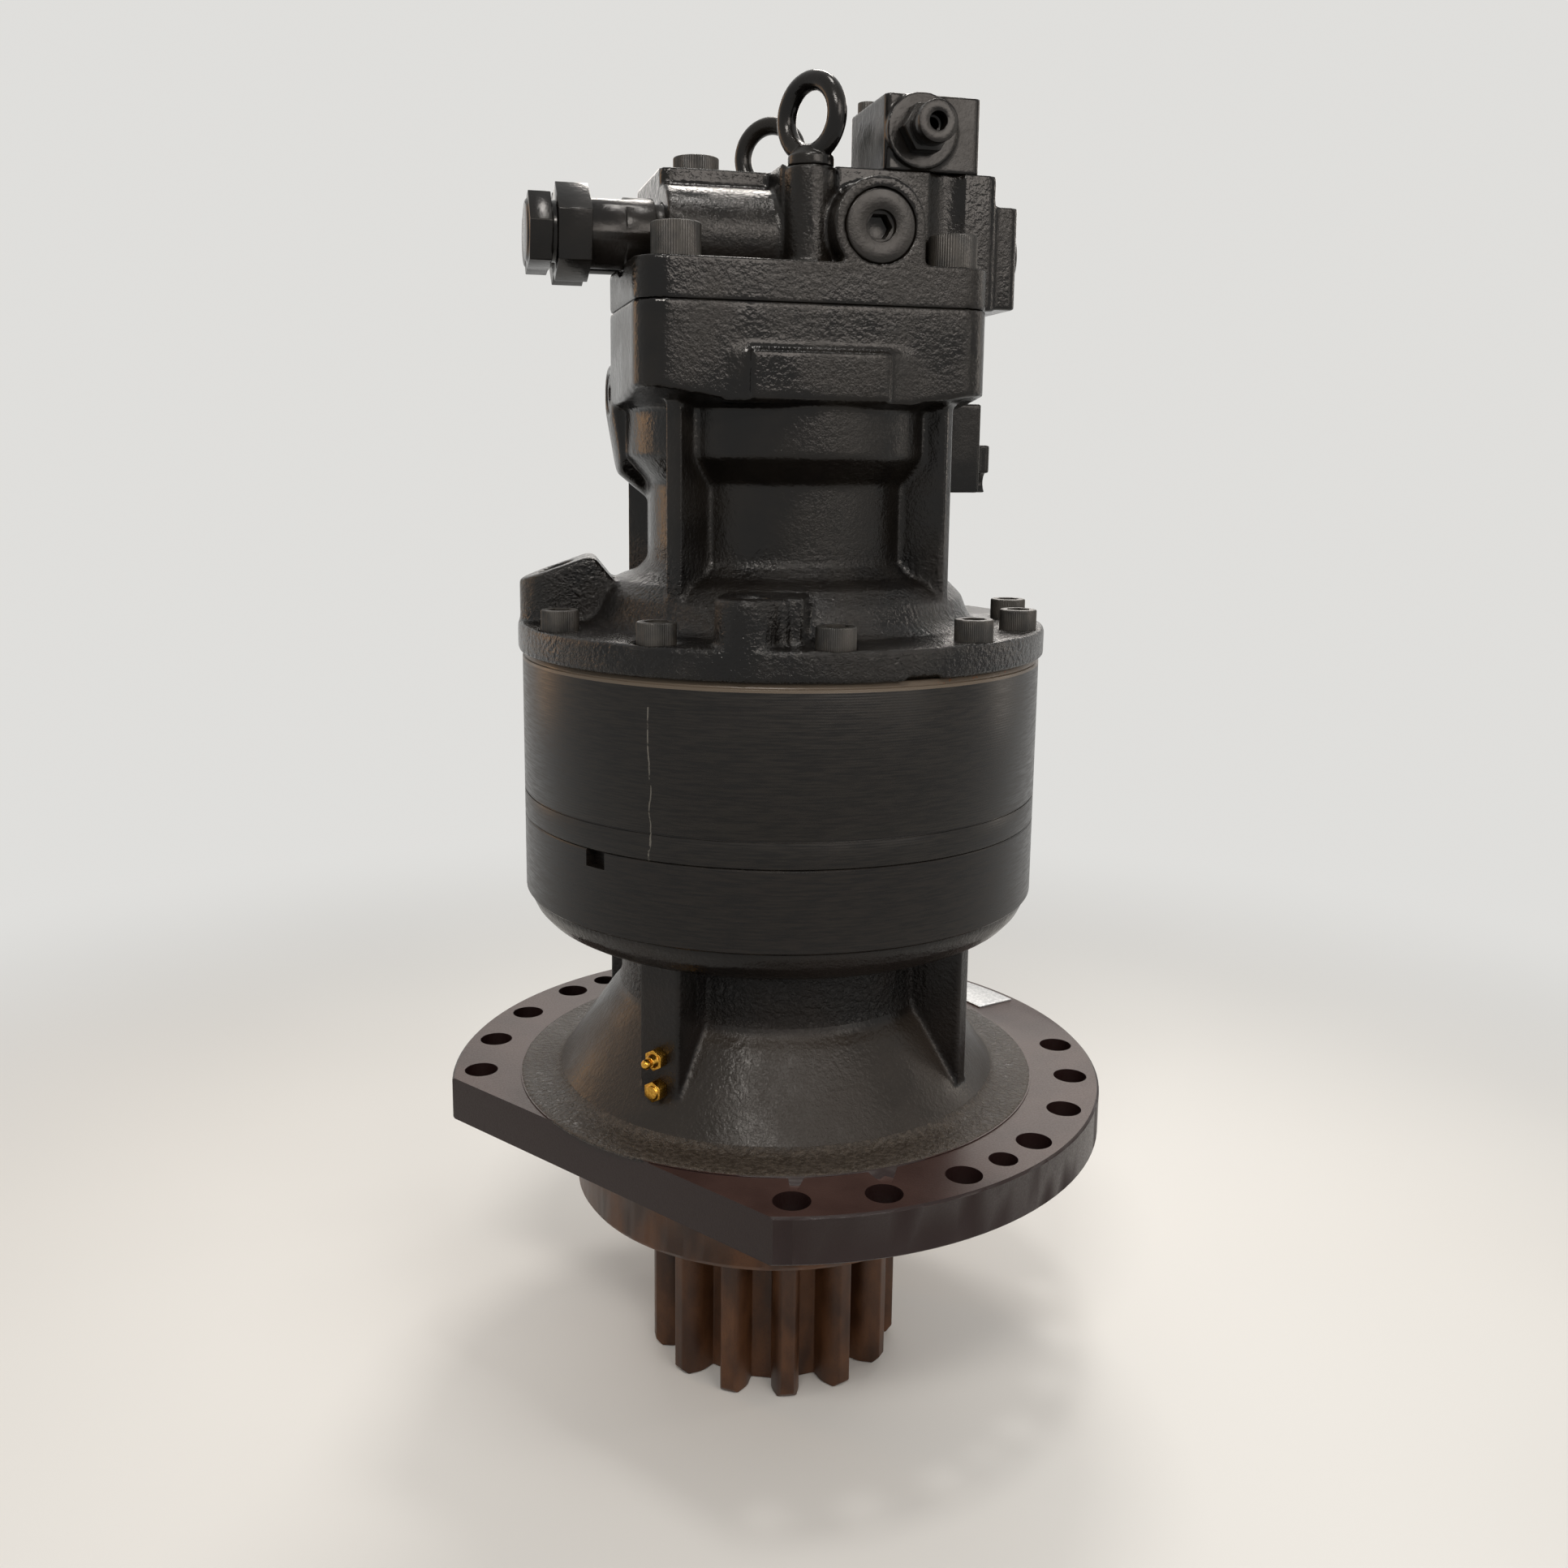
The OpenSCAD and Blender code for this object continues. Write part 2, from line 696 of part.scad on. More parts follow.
module output_inner_races() {
  color("#9a9ea1") {
    inner_race(lower_bearing_z, lower_bearing_w, lower_bearing_r, shaft_lower_r);
    inner_race(upper_bearing_z, upper_bearing_w, upper_bearing_r, shaft_upper_r);
  }
}

module output_rollers() {
  color("#c9ccce") {
    roller_set(lower_bearing_z, lower_bearing_w, lower_bearing_r, shaft_lower_r, 18);
    roller_set(upper_bearing_z, upper_bearing_w, upper_bearing_r, shaft_upper_r, 18);
  }
}

module shaft_seal() {
  seal_r = seal_seat_r + 19;
  color("#1a1a1a") turned([
    [seal_r - seat, -spigot_l + 1], [seal_r - seat, -spigot_l + 14], [seal_r - 5, -spigot_l + 14],
    [seal_r - 5, -spigot_l + 5], [seal_seat_r + 5, -spigot_l + 5], [seal_seat_r + 4, -spigot_l + 11],
    [seal_seat_r + running, -spigot_l + 9], [seal_seat_r + 3, -spigot_l + 1]
  ]);
}

// Ring gear: the internal teeth run its whole height and serve both stages
module ring_gear() {
  color("#1d1e1f") difference() {
    turned([
      [0, housing_top], [housing_r - 1, housing_top], [housing_r, housing_top + 1],
      [housing_r, housing_top + groove_z], [housing_r - 0.8, housing_top + groove_z],
      [housing_r - 0.8, housing_top + groove_z + groove_w],
      [housing_r, housing_top + groove_z + groove_w], [housing_r, ring_top - 3.4],
      [housing_r - 1.2, ring_top - 3], [housing_r - 2.4, ring_top], [0, ring_top]
    ]);
    at(housing_top - 1) linear_extrude(ring_h + 2) {
      gear_outline(gear_m, ring_teeth, -backlash, dedendum, ring_addendum);
    }
    at_screws(screw_circle_r) at(housing_top - 1) {
      cylinder(r = casing_screw_r + screw_clear, h = ring_h + 2);
    }
  }
}

// Carriers: two plates joined by webs that stand between the planets
module carrier_webs(z, h, at_r, r) {
  around(planets, 180 / planets) translate([at_r, 0, z]) cylinder(r = r, h = h);
}

module at_planets(centre) {
  around(planets) translate([centre, 0, 0]) children();
}

module carrier_2() {
  hub_z = carrier_2_z - carrier_hub_l + carrier_2_t;
  color("#70757a") difference() {
    union() {
      disc(carrier_2_z, carrier_2_t, carrier_r);
      disc(carrier_2_top, carrier_plate_t, carrier_r);
      carrier_webs(carrier_2_z, carrier_2_top - carrier_2_z + 1, web_2_at, web_2_r);
      disc(hub_z, carrier_hub_l - carrier_2_t + 1, 62);
    }
    at(hub_z - 1) linear_extrude(shaft_top - hub_z + 1) {
      spline_outline(out_spline_z, out_spline_m, spline_fit);
    }
    disc(shaft_top - 1, carrier_2_top - shaft_top, 30);
    disc(carrier_2_top - 1, carrier_plate_t + 2, gear_m * (sun_2_teeth / 2 + addendum) + 3);
    at_planets(centre_2) at(carrier_2_z - 1) {
      cylinder(r = pin_2_r + seat, h = carrier_2_top - carrier_2_z + carrier_plate_t + 2);
    }
  }
}

module carrier_1() {
  color("#70757a") difference() {
    union() {
      disc(carrier_1_z, carrier_plate_t, carrier_r);
      disc(carrier_1_top, carrier_plate_t, carrier_r);
      carrier_webs(carrier_1_z, carrier_1_top - carrier_1_z + 1, web_1_at, web_1_r);
    }
    at(carrier_1_z - 1) rotate([0, 0, sun_turn(sun_2_teeth, planet_2_teeth)]) {
      linear_extrude(carrier_plate_t + 2) {
        gear_outline(gear_m, sun_2_teeth, -spline_fit, addendum + 0.05, dedendum - 0.05);
      }
    }
    disc(carrier_1_top - 1, carrier_plate_t + 2, gear_m * (sun_1_teeth / 2 + addendum) + 3);
    at_planets(centre_1) at(carrier_1_z - 1) {
      cylinder(r = pin_1_r + seat, h = carrier_1_top - carrier_1_z + carrier_plate_t + 2);
    }
  }
}

module planet_pins_2() {
  color("#b4b8ba") at_planets(centre_2) at(carrier_2_z) {
    cylinder(r = pin_2_r, h = carrier_2_top - carrier_2_z + carrier_plate_t);
  }
}

module planet_pins_1() {
  color("#b4b8ba") at_planets(centre_1) at(carrier_1_z) {
    cylinder(r = pin_1_r, h = carrier_1_top - carrier_1_z + carrier_plate_t);
  }
}

module planet(i, zs, zp, centre, z, w, pin_r) {
  dir = i * 360 / planets;
  rotate([0, 0, dir]) translate([centre, 0, z]) rotate([0, 0, planet_turn(dir, zs, zp) - dir]) {
    difference() {
      linear_extrude(w) gear_outline(gear_m, zp);
      at(-1) cylinder(r = pin_r + running, h = w + 2);
    }
  }
}

module planet_2(i) {
  color("#8b8f93") planet(i, sun_2_teeth, planet_2_teeth, centre_2, stage_2_z, stage_2_w, pin_2_r);
}

module planet_1(i) {
  color("#8b8f93") planet(i, sun_1_teeth, planet_1_teeth, centre_1, stage_1_z, stage_1_w, pin_1_r);
}

module planet_2a() planet_2(0);
module planet_2b() planet_2(1);
module planet_2c() planet_2(2);
module planet_1a() planet_1(0);
module planet_1b() planet_1(1);
module planet_1c() planet_1(2);

// Second sun: its teeth also lock into the first carrier's lower plate
module sun_2() {
  turn = sun_turn(sun_2_teeth, planet_2_teeth);
  sun_top = carrier_1_z + carrier_plate_t - 1;
  color("#a3a6a9") difference() {
    rotate([0, 0, turn]) at(stage_2_z) linear_extrude(sun_top - stage_2_z) {
      gear_outline(gear_m, sun_2_teeth);
    }
    disc(stage_2_z - 1, sun_top - stage_2_z + 2, 20);
  }
}

module sun_1() {
  color("#a3a6a9") difference() {
    at(stage_1_z) linear_extrude(stage_1_w + 6) gear_outline(gear_m, sun_1_teeth);
    at(stage_1_z - 1) linear_extrude(stage_1_w + 8) {
      spline_outline(motor_spline_z, motor_spline_m, spline_fit);
    }
  }
}

// Wear pads that keep the suns and carriers apart along the axis
module thrust_pads() {
  sun_tip = gear_m * (sun_2_teeth / 2 + addendum);
  pad_z = carrier_2_top + carrier_plate_t + face_gap;
  color("#a08a55") ring(pad_z, carrier_1_z - pad_z, sun_tip + 16, sun_tip + 4);
}

// Motor casing
module square_outline() {
  difference() {
    rounded_rect(-square_left, square_right, -square_front, square_front, square_corner);
    // The cast corner at the left and back is cut off
    polygon([
      [-square_left - 1, 6], [-square_left - 1, square_front + 1], [-square_left * 0.55, square_front + 1]
    ]);
  }
}

module corner_rib(dir) {
  rotate([0, 0, dir]) rotate([90, 0, 0]) at(-corner_rib_t / 2) linear_extrude(corner_rib_t) polygon([
    [barrel_r - 8, ring_top + 8], [skirt_r + 2, ring_top + 8], [skirt_r - 2, ring_top + skirt_h - 14],
    [corner_rib_r, ring_top + skirt_h + 6], [corner_rib_r, square_z + 8], [barrel_r - 8, square_z + 8]
  ]);
}

module casing_outside() {
  turned([
    [0, ring_top], [casing_flange_r - 1, ring_top], [casing_flange_r, ring_top + 1],
    [casing_flange_r, ring_top + casing_flange_t - 1.5],
    [casing_flange_r - 1.5, ring_top + casing_flange_t], [skirt_r + 9, ring_top + casing_flange_t],
    [skirt_r + 3, ring_top + casing_flange_t + 4],
    [skirt_r, ring_top + skirt_h - 8], [skirt_r - 4, ring_top + skirt_h + 2],
    [skirt_r - 14, ring_top + skirt_h + 12], [barrel_r + 7, ring_top + skirt_h + 17],
    [barrel_r, ring_top + skirt_h + 25], [barrel_r, barrel_step_z - 1],
    [barrel_top_r, barrel_step_z + 16], [barrel_top_r, square_z + 2], [0, square_z + 2]
  ]);
  // Square flange with a coned underside
  intersection() {
    turned([
      [0, square_z - 2], [barrel_top_r - 6, square_z - 2], [square_left + 45, square_z + 13],
      [square_left + 45, casing_top], [0, casing_top]
    ]);
    at(square_z - 3) linear_extrude(square_h + 3) square_outline();
  }
  for (dir = corner_dirs) corner_rib(dir);
  // Low pad on the front face
  at(square_z + 1) linear_extrude(31) polygon([
    [-62, -square_front + 20], [-62, -square_front], [-45, -square_front - 2.5],
    [39, -square_front - 2.5], [56, -square_front], [56, -square_front + 20]
  ]);
  // Pad that carries the brake valve
  rounded_block(60, brake_valve_box[0], brake_valve_box[2] + 1, brake_valve_box[3] - 1,
    brake_valve_z[0] + 1, brake_valve_z[1] - 1, 4);
  // Drain port boss on the left, with the smaller swelling below it
  drain_boss();
  casing_lugs();
}

module drain_boss() {
  hull() {
    along_x([drain_x, drain_y, drain_z], 40, 17, $fn = 32);
    along_x([drain_x + 3, drain_y, drain_z], 30, 20, $fn = 32);
    along_x([drain_x + 6, drain_y, drain_z - 34], 30, 18, $fn = 32);
    along_x([-barrel_r + 4, drain_y, drain_z - 56], 10, 14, $fn = 32);
  }
}

// Lug with a tapped hole in front, and the boss with a sloped top on the left
module front_lug() {
  middle = casing_flange_r + 0.7 - front_lug_r;
  at(ring_top + 0.4) linear_extrude(front_lug_z - ring_top - 0.4) {
    translate([middle, 0]) circle(r = front_lug_r);
    translate([skirt_r - 8, -front_lug_r]) square([middle - skirt_r + 8, 2 * front_lug_r]);
    translate([skirt_r - 8, 0]) square([casing_flange_r - 24 - skirt_r + 8, front_lug_r + 14]);
  }
}

module left_lug() {
  outer = casing_flange_r - 1.5;
  rise = (outer - skirt_r - 6) * tan(left_lug_tilt);
  intersection() {
    at(ring_top + 10) linear_extrude(80) {
      translate([outer - left_lug_r, 0]) circle(r = left_lug_r);
      translate([skirt_r - 20, -left_lug_r]) square([outer - left_lug_r - skirt_r + 20, 2 * left_lug_r]);
    }
    rotate([90, 0, 0]) at(-40) linear_extrude(80) polygon([
      [skirt_r - 14, ring_top + 9], [outer + 1, ring_top + 9], [outer + 1, left_lug_z],
      [skirt_r + 6, left_lug_z + rise], [skirt_r + 1, left_lug_z + rise], [skirt_r - 14, left_lug_z - 2]
    ]);
  }
}

module casing_lugs() {
  rotate([0, 0, front_lug_dir - motor_yaw]) front_lug();
  rotate([0, 0, left_lug_dir - motor_yaw]) left_lug();
}

module lug_holes() {
  rotate([0, 0, front_lug_dir - motor_yaw]) translate([casing_flange_r - 22, 4, front_lug_z - 28]) {
    cylinder(r = 8.3, h = 30);
  }
  rotate([0, 0, left_lug_dir - motor_yaw]) {
    translate([left_lug_hole, 0, left_lug_z + (casing_flange_r - left_lug_hole) * tan(left_lug_tilt)]) {
      rotate([0, left_lug_tilt, 0]) at(-20) cylinder(r = 12, h = 30);
    }
  }
}

module motor_casing() {
  color("#121314") difference() {
    motor_frame() casing_outside();
    // Shaft, seal and lower bearing
    disc(ring_top - 1, casing_h, motor_shaft_r + 3);
    disc(motor_seal_z, motor_seal_h + 3, motor_seal_r + seat);
    disc(low_race_z, low_race_w + 10, low_race_r + seat);
    disc(swash_z, brake_step_z - swash_z, swash_cavity_r);
    // Brake: bore of the plates and the wider bore of the piston
    disc(disc_z, casing_h, separator_r + running);
    disc(brake_step_z, casing_h, brake_piston_r + running);
    at_screws(screw_circle_r) at(ring_top - 1) {
      cylinder(r = casing_screw_r + screw_clear, h = casing_flange_t + 2);
    }
    // Flat seats for the screw heads
    at_screws(screw_circle_r) at(screw_head_z) cylinder(r = casing_head_r + 1.2, h = 60);
    motor_frame() {
      for (p = cover_screw_places) {
        translate(p) at(casing_top - cover_grip) cylinder(r = cover_screw_r + seat, h = cover_grip + 1);
      }
      // Tapped holes of the lugs, the drain port and the brake valve
      lug_holes();
      along_x([drain_x - 1, drain_y, drain_z], 24, drain_r + seat);
      at_brake_valve_screws() along_x([brake_valve_box[0] - 11, 0, 0], 20, 4 + seat);
    }
    // Seat of the brake valve under the square flange
    motor_frame() translate([brake_valve_box[0], brake_valve_box[2] - 1, brake_valve_z[0] - 1]) {
      cube([30, brake_valve_box[3] - brake_valve_box[2] + 2, brake_valve_z[1] - brake_valve_z[0] + 2]);
    }
    // Notch in the lower edge of the flange
    rotate([0, 0, casing_notch_dir]) translate([casing_flange_r - 6, -13, ring_top - 1]) cube([10, 26, 4]);
  }
}

module casing_screws() {
  shank = screw_head_z - housing_top + casing_screw_grip;
  color("#1a1b1d") at_screws(screw_circle_r) at(screw_head_z) {
    cap_screw(casing_screw_r, shank, casing_head_r, casing_head_h, 14);
  }
}

module drain_plug() {
  color("#151617") motor_frame() difference() {
    along_x([drain_x + 1, drain_y, drain_z], 20, drain_r);
    translate([drain_x, drain_y, drain_z]) rotate([0, 90, 0]) hex_prism(10, 9);
  }
}

// Motor shaft, from the first sun up into the valve cover
module motor_shaft() {
  color("#a9adb0") {
    at(motor_shaft_end) linear_extrude(stage_1_w + 14) {
      spline_outline(motor_spline_z, motor_spline_m, 0);
    }
    turned([
      [0, motor_shaft_end + stage_1_w + 12], [motor_shaft_r, motor_shaft_end + stage_1_w + 12],
      [motor_shaft_r + 1, motor_seal_z - 4], [motor_shaft_r + 1, low_race_z],
      [low_race_bore, low_race_z], [low_race_bore, low_race_z + low_race_w],
      [low_race_bore - 4, low_race_z + low_race_w + 6], [motor_shaft_r - 2, block_z - 2],
      [motor_shaft_r - 2, block_z], [0, block_z]
    ]);
    at(block_z - 1) linear_extrude(block_h * 0.45 + 1) spline_outline(motor_spline_z, motor_spline_m, 0);
    turned([
      [0, block_z], [shaft_neck_r, block_z], [shaft_neck_r, casing_top + 1],
      [top_race_bore, casing_top + 1], [top_race_bore, casing_top + 2 + top_race_w],
      [0, casing_top + 2 + top_race_w]
    ]);
  }
}

module motor_outer_races() {
  color("#8d9194") {
    outer_race(low_race_z, low_race_w, low_race_r, low_race_bore);
    outer_race(casing_top + 1.5, top_race_w, top_race_r, top_race_bore);
  }
}

module motor_inner_races() {
  color("#9a9ea1") {
    inner_race(low_race_z, low_race_w, low_race_r, low_race_bore);
    inner_race(casing_top + 1.5, top_race_w, top_race_r, top_race_bore);
  }
}

module motor_rollers() {
  color("#c9ccce") {
    roller_set(low_race_z, low_race_w, low_race_r, low_race_bore, 14);
    roller_set(casing_top + 1.5, top_race_w, top_race_r, top_race_bore, 12);
  }
}

module motor_seal() {
  color("#1a1a1a") turned([
    [motor_seal_r - seat, motor_seal_z], [motor_seal_r - seat, motor_seal_z + motor_seal_h],
    [motor_seal_r - 3, motor_seal_z + motor_seal_h], [motor_seal_r - 3, motor_seal_z + 3],
    [motor_shaft_r + 5, motor_seal_z + 3], [motor_shaft_r + 4, motor_seal_z + 7],
    [motor_shaft_r + 1 + running, motor_seal_z + 6], [motor_shaft_r + 4, motor_seal_z]
  ]);
}

// The swash plate's face is tilted about the motor's x axis
module on_swash() {
  motor_frame() at(swash_mid) rotate([swash_angle, 0, 0]) children();
}

module swash_plate() {
  color("#9da1a4") difference() {
    disc(swash_z, swash_r, swash_r);
    on_swash() translate([-2 * swash_r, -2 * swash_r, 0]) cube([4 * swash_r, 4 * swash_r, 2 * swash_r]);
    disc(swash_z - 1, 80, swash_bore);
  }
}

// Ball centres of the pistons, in the frame of the swash plate's face
function piston_dir(i) = i * 360 / pistons_n;
// They lie over the circle of bores, so the shoes stand a little off the plate's middle
function ball_place(i) = [
  piston_circle_r * cos(piston_dir(i)),
  piston_circle_r * sin(piston_dir(i)) / cos(swash_angle) + shoe_shift,
  ball_lift
];
function ball_z(i) = swash_mid + ball_place(i)[1] * sin(swash_angle) + ball_lift * cos(swash_angle);

module piston_shoes() {
  color("#b08d57") on_swash() for (i = [0:pistons_n - 1]) translate(ball_place(i)) {
    difference() {
      union() {
        at(-ball_lift + 0.1) cylinder(r = piston_r + 1.5, h = shoe_t);
        at(-ball_lift + 1) cylinder(r = ball_r + 2, h = ball_lift + 1.5, $fn = 32);
      }
      sphere(r = ball_r + ball_fit, $fn = 32);
      at(-ball_lift - 1) cylinder(r = 1.5, h = ball_lift, $fn = 24);
    }
  }
}

module retainer_plate() {
  color("#8e9295") on_swash() difference() {
    translate([0, shoe_shift, shoe_t + 0.2]) cylinder(r = piston_circle_r + 15, h = 4);
    translate([0, shoe_shift, 0]) cylinder(r = swash_bore - 1, h = 20);
    for (i = [0:pistons_n - 1]) {
      translate(ball_place(i)) at(-ball_lift) cylinder(r = ball_r + 3, h = 2 * ball_lift, $fn = 32);
    }
  }
}

module pistons() {
  color("#c3c6c8") motor_frame() for (i = [0:pistons_n - 1]) rotate([0, 0, piston_dir(i)]) {
    translate([piston_circle_r, 0, ball_z(i)]) {
      sphere(r = ball_r, $fn = 32);
      cylinder(r = ball_r - 2.5, h = piston_start + 1);
      at(piston_start) difference() {
        cylinder(r = piston_r, h = piston_l);
        at(14) cylinder(r = piston_r - 3.5, h = piston_l);
      }
    }
  }
}

// Cylinder block: piston bores from below, splined bore, teeth outside for the friction discs
module block_outside(grow) {
  spline_outline(block_teeth, 2 * (block_r + 0.2) / (block_teeth - 1), grow);
}

module cylinder_block() {
  color("#7d8185") motor_frame() difference() {
    union() {
      disc(block_z, block_h, block_r);
      at(disc_z - 4) linear_extrude(discs_top - disc_z + 6) block_outside(0);
    }
    for (i = [0:pistons_n - 1]) {
      rotate([0, 0, piston_dir(i)]) translate([piston_circle_r, 0, block_z - 1]) {
        cylinder(r = piston_r + running, h = block_h - 14);
        cylinder(r = 5, h = block_h + 2, $fn = 24);
      }
    }
    at(block_z - 1) linear_extrude(block_floor_z - block_z + 2) rotate([0, 0, -motor_yaw]) {
      spline_outline(motor_spline_z, motor_spline_m, spline_fit);
    }
    // Room for the spring, and the groove of the ring that holds it
    disc(block_floor_z, block_h, 29);
    disc(block_floor_z + block_spring_h, 3, 31 + seat);
  }
}

// A coil of wire as one closed sweep: turns of radius r, pitch by height
module coil(r, wire, h, turns, per_turn = 10, sides = 5) {
  rings = turns * per_turn;
  points = [
    for (i = [0:rings])
    for (k = [0:sides - 1])
    let (a = i * 360 / per_turn, b = k * 360 / sides)
    [(r + wire * cos(b)) * cos(a), (r + wire * cos(b)) * sin(a),
      wire + (h - 2 * wire) * i / rings + wire * sin(b)]
  ];
  faces = concat(
    [[for (k = [0:sides - 1]) k]],
    [for (i = [0:rings - 1]) for (k = [0:sides - 1])
      [i * sides + k, (i + 1) * sides + k, (i + 1) * sides + (k + 1) % sides]],
    [for (i = [0:rings - 1]) for (k = [0:sides - 1])
      [i * sides + k, (i + 1) * sides + (k + 1) % sides, i * sides + (k + 1) % sides]],
    [[for (k = [0:sides - 1]) rings * sides + sides - 1 - k]]
  );
  polyhedron(points, faces, convexity = 6);
}

module block_spring() {
  color("#3d4043") at(block_floor_z) coil(24, 2.6, block_spring_h, 4, 14);
}

module spring_retainer() {
  color("#6f7376") ring(block_floor_z + block_spring_h, 3, 31, 20);
}

module valve_plate() {
  color("#b08d57") motor_frame() at(casing_top - valve_plate_t) difference() {
    cylinder(r = valve_plate_r, h = valve_plate_t);
    at(-1) cylinder(r = 22, h = valve_plate_t + 2);
    for (side = [0, 180], i = [-3:3]) {
      rotate([0, 0, side + i * 21]) translate([piston_circle_r, 0, -1]) {
        cylinder(r = 6, h = valve_plate_t + 2, $fn = 24);
      }
    }
  }
}

// Brake discs: friction discs turn with the block, separator plates stay in the casing
module friction_discs() {
  color("#6b5a3e") motor_frame() for (i = [0:discs_n - 1]) {
    at(disc_z + 0.05 + (2 * i + 1) * disc_pitch) difference() {
      cylinder(r = separator_r - 3, h = disc_t);
      at(-1) linear_extrude(disc_t + 2) block_outside(0.25);
    }
  }
}

module separator_plates() {
  color("#84888b") for (i = [0:discs_n]) {
    ring(disc_z + 0.05 + 2 * i * disc_pitch, disc_t, separator_r, disc_inner_r + 2);
  }
}

module brake_piston() {
  color("#8a8e91") motor_frame() difference() {
    union() {
      disc(discs_top, brake_step_z - discs_top + 1, separator_r - 0.4);
      disc(brake_step_z + face_gap, brake_piston_top - brake_step_z - face_gap, brake_piston_r);
    }
    disc(discs_top - 1, brake_piston_top - discs_top + 2, brake_bore_r);
    around(springs_n) translate([spring_circle_r, 0, brake_piston_top - spring_pocket]) {
      cylinder(r = spring_r + spring_wire + 0.8, h = 20);
    }
  }
}

module brake_springs() {
  color("#3d4043") motor_frame() around(springs_n) {
    translate([spring_circle_r, 0, brake_piston_top - spring_pocket]) {
      coil(spring_r, spring_wire, casing_top - brake_piston_top + spring_pocket, 4, 8, 4);
    }
  }
}

// Valve cover
module relief_axis(front) {
  y = front ? relief_front_y : relief_rear_y;
  z = casing_top + relief_z + (front ? 0 : relief_rear_rise);
  translate([front ? 0 : relief_rear_shift, y, z]) children();
}

module cover_blocks() {
  // Base plate
  at(casing_top) linear_extrude(cover_t) square_outline();
  // Relief valve block with its half round bosses
  rounded_block(relief_left, relief_block_right, relief_front_y, relief_rear_y + 30,
    casing_top + 2, cover_top, 5);
  for (front = [true, false]) {
    relief_axis(front) rotate([0, 90, 0]) {
      at(relief_left) cylinder(r = relief_boss_r, h = relief_block_right - relief_left);
    }
  }
  // Main block over the ports, set back behind the front plug's boss
  rounded_block(relief_block_right - 4, side_block_x - 16, -75, block_back, casing_top + 2, cover_top, 5);
  // Boss of the front plug, with the wall below it
  along_front([check_front_x, -60, check_front_z], square_front - 60, check_boss_r);
  rounded_block(check_front_x - 5, check_front_x + check_boss_r, -square_front, -60,
    casing_top + 1, check_front_z, 1);
  // Post of the front eyebolt
  translate([post_x, post_y, casing_top + 2]) cylinder(r = post_r, h = cover_top - casing_top - 4);
  // Side block of the other plug
  rounded_block(square_right - 14, side_block_x, check_side_y - 27, check_side_y + 29,
    casing_top + 3.5, casing_top + 66, 5);
  // Port pads at the back
  for (side = [-1, 1]) {
    along_front([side * port_half + port_x, block_back + 4, casing_top + 50], 30, port_r + 9);
  }
}

module cover_cavities() {
  for (p = cover_screw_places) {
    translate(p) at(casing_top - 1) cylinder(r = cover_screw_r + screw_clear, h = cover_h);
    translate(p) at(base_top) cylinder(r = cover_head_r + 2.5, h = cover_h);
  }
  // Upper shaft bearing, open to the motor
  disc(casing_top - 1, top_race_w + 4, top_race_r + seat);
  disc(casing_top - 1, 3, 33);
  // Relief valve bores
  for (front = [true, false]) {
    relief_axis(front) {
      along_x([relief_left - relief_neck, 0, 0], relief_thread_l + relief_neck, 19 + seat);
      // Room for the valve's body over the base plate
      along_x([relief_left - 50, 0, 0], 45, 22.8);
      along_x([relief_left + relief_thread_l - 1, 0, 0], relief_bore_l + 1, 9 + running);
    }
  }
  // Check valve bores: plug, then poppet
  along_front([check_front_x, -square_front + plug_l, check_front_z], plug_l + 1, check_plug_r + seat);
  along_front([check_front_x, -square_front + plug_l + check_bore_l, check_front_z], check_bore_l + 1,
    check_poppet_r + running);
  along_x([side_block_x - plug_l, check_side_y, check_side_z], plug_l + 1, check_plug_r + seat);
  along_x([side_block_x - plug_l - check_bore_l, check_side_y, check_side_z], check_bore_l + 1,
    check_poppet_r + running);
  // Oil ports at the back
  for (side = [-1, 1]) {
    along_front([side * port_half + port_x, block_back + 5, casing_top + 50], port_depth + 1, port_r);
  }
  // Seat of the front eyebolt, then tapped holes for the eyebolts, the plug screw and the reversal valve
  translate(eye_places[0]) cylinder(r = post_r + 0.5, h = 10);
  translate(plug_screw_place) at(-plug_screw_l - 1) cylinder(r = 10 + seat, h = 30);
  for (p = eye_places) {
    translate(p) at(-eye_shank_l - 2) cylinder(r = eye_shank_r + seat, h = eye_shank_l + 3);
  }
  at_reversal_screws() at(cover_top - 16) cylinder(r = 4 + seat, h = 20);
}

module valve_cover() {
  color("#121314") motor_frame() difference() {
    cover_blocks();
    cover_cavities();
  }
}

module cover_screws() {
  color("#1a1b1d") motor_frame() {
    for (p = cover_screw_places) translate(p) at(base_top) {
      cap_screw(cover_screw_r, cover_t + cover_grip - 2, cover_head_r, cover_head_h, 17);
    }
    // Plug screw on top of the relief valve block
    translate(plug_screw_place) cap_screw(cover_screw_r, plug_screw_l, cover_head_r, cover_head_h - 2, 17);
  }
}

// Relief valves: cartridge with hexagon, and the adjusting cap at its end
module relief_valve() {
  rotate([0, 90, 0]) difference() {
    union() {
      at(relief_left) cylinder(r = 19, h = relief_thread_l);
      at(relief_left - 7) cylinder(r = 18.5, h = 8);
      difference() {
        at(relief_left - 46) cylinder(r = 21.8, h = 40);
        for (a = [0:60:300]) {
          rotate([0, 0, a + 10]) translate([20.3, -30, relief_left - 47]) cube([9, 60, 23]);
        }
      }
      rotate([0, 0, 10]) at(relief_left - 65) hex_prism(50, 20);
      at(relief_left - 68) cylinder(r = 18, h = 4);
    }
    at(relief_left - 72) cylinder(r = 10.05, h = 40);
    at(relief_left + 12) cylinder(r = 7, h = relief_thread_l);
  }
}

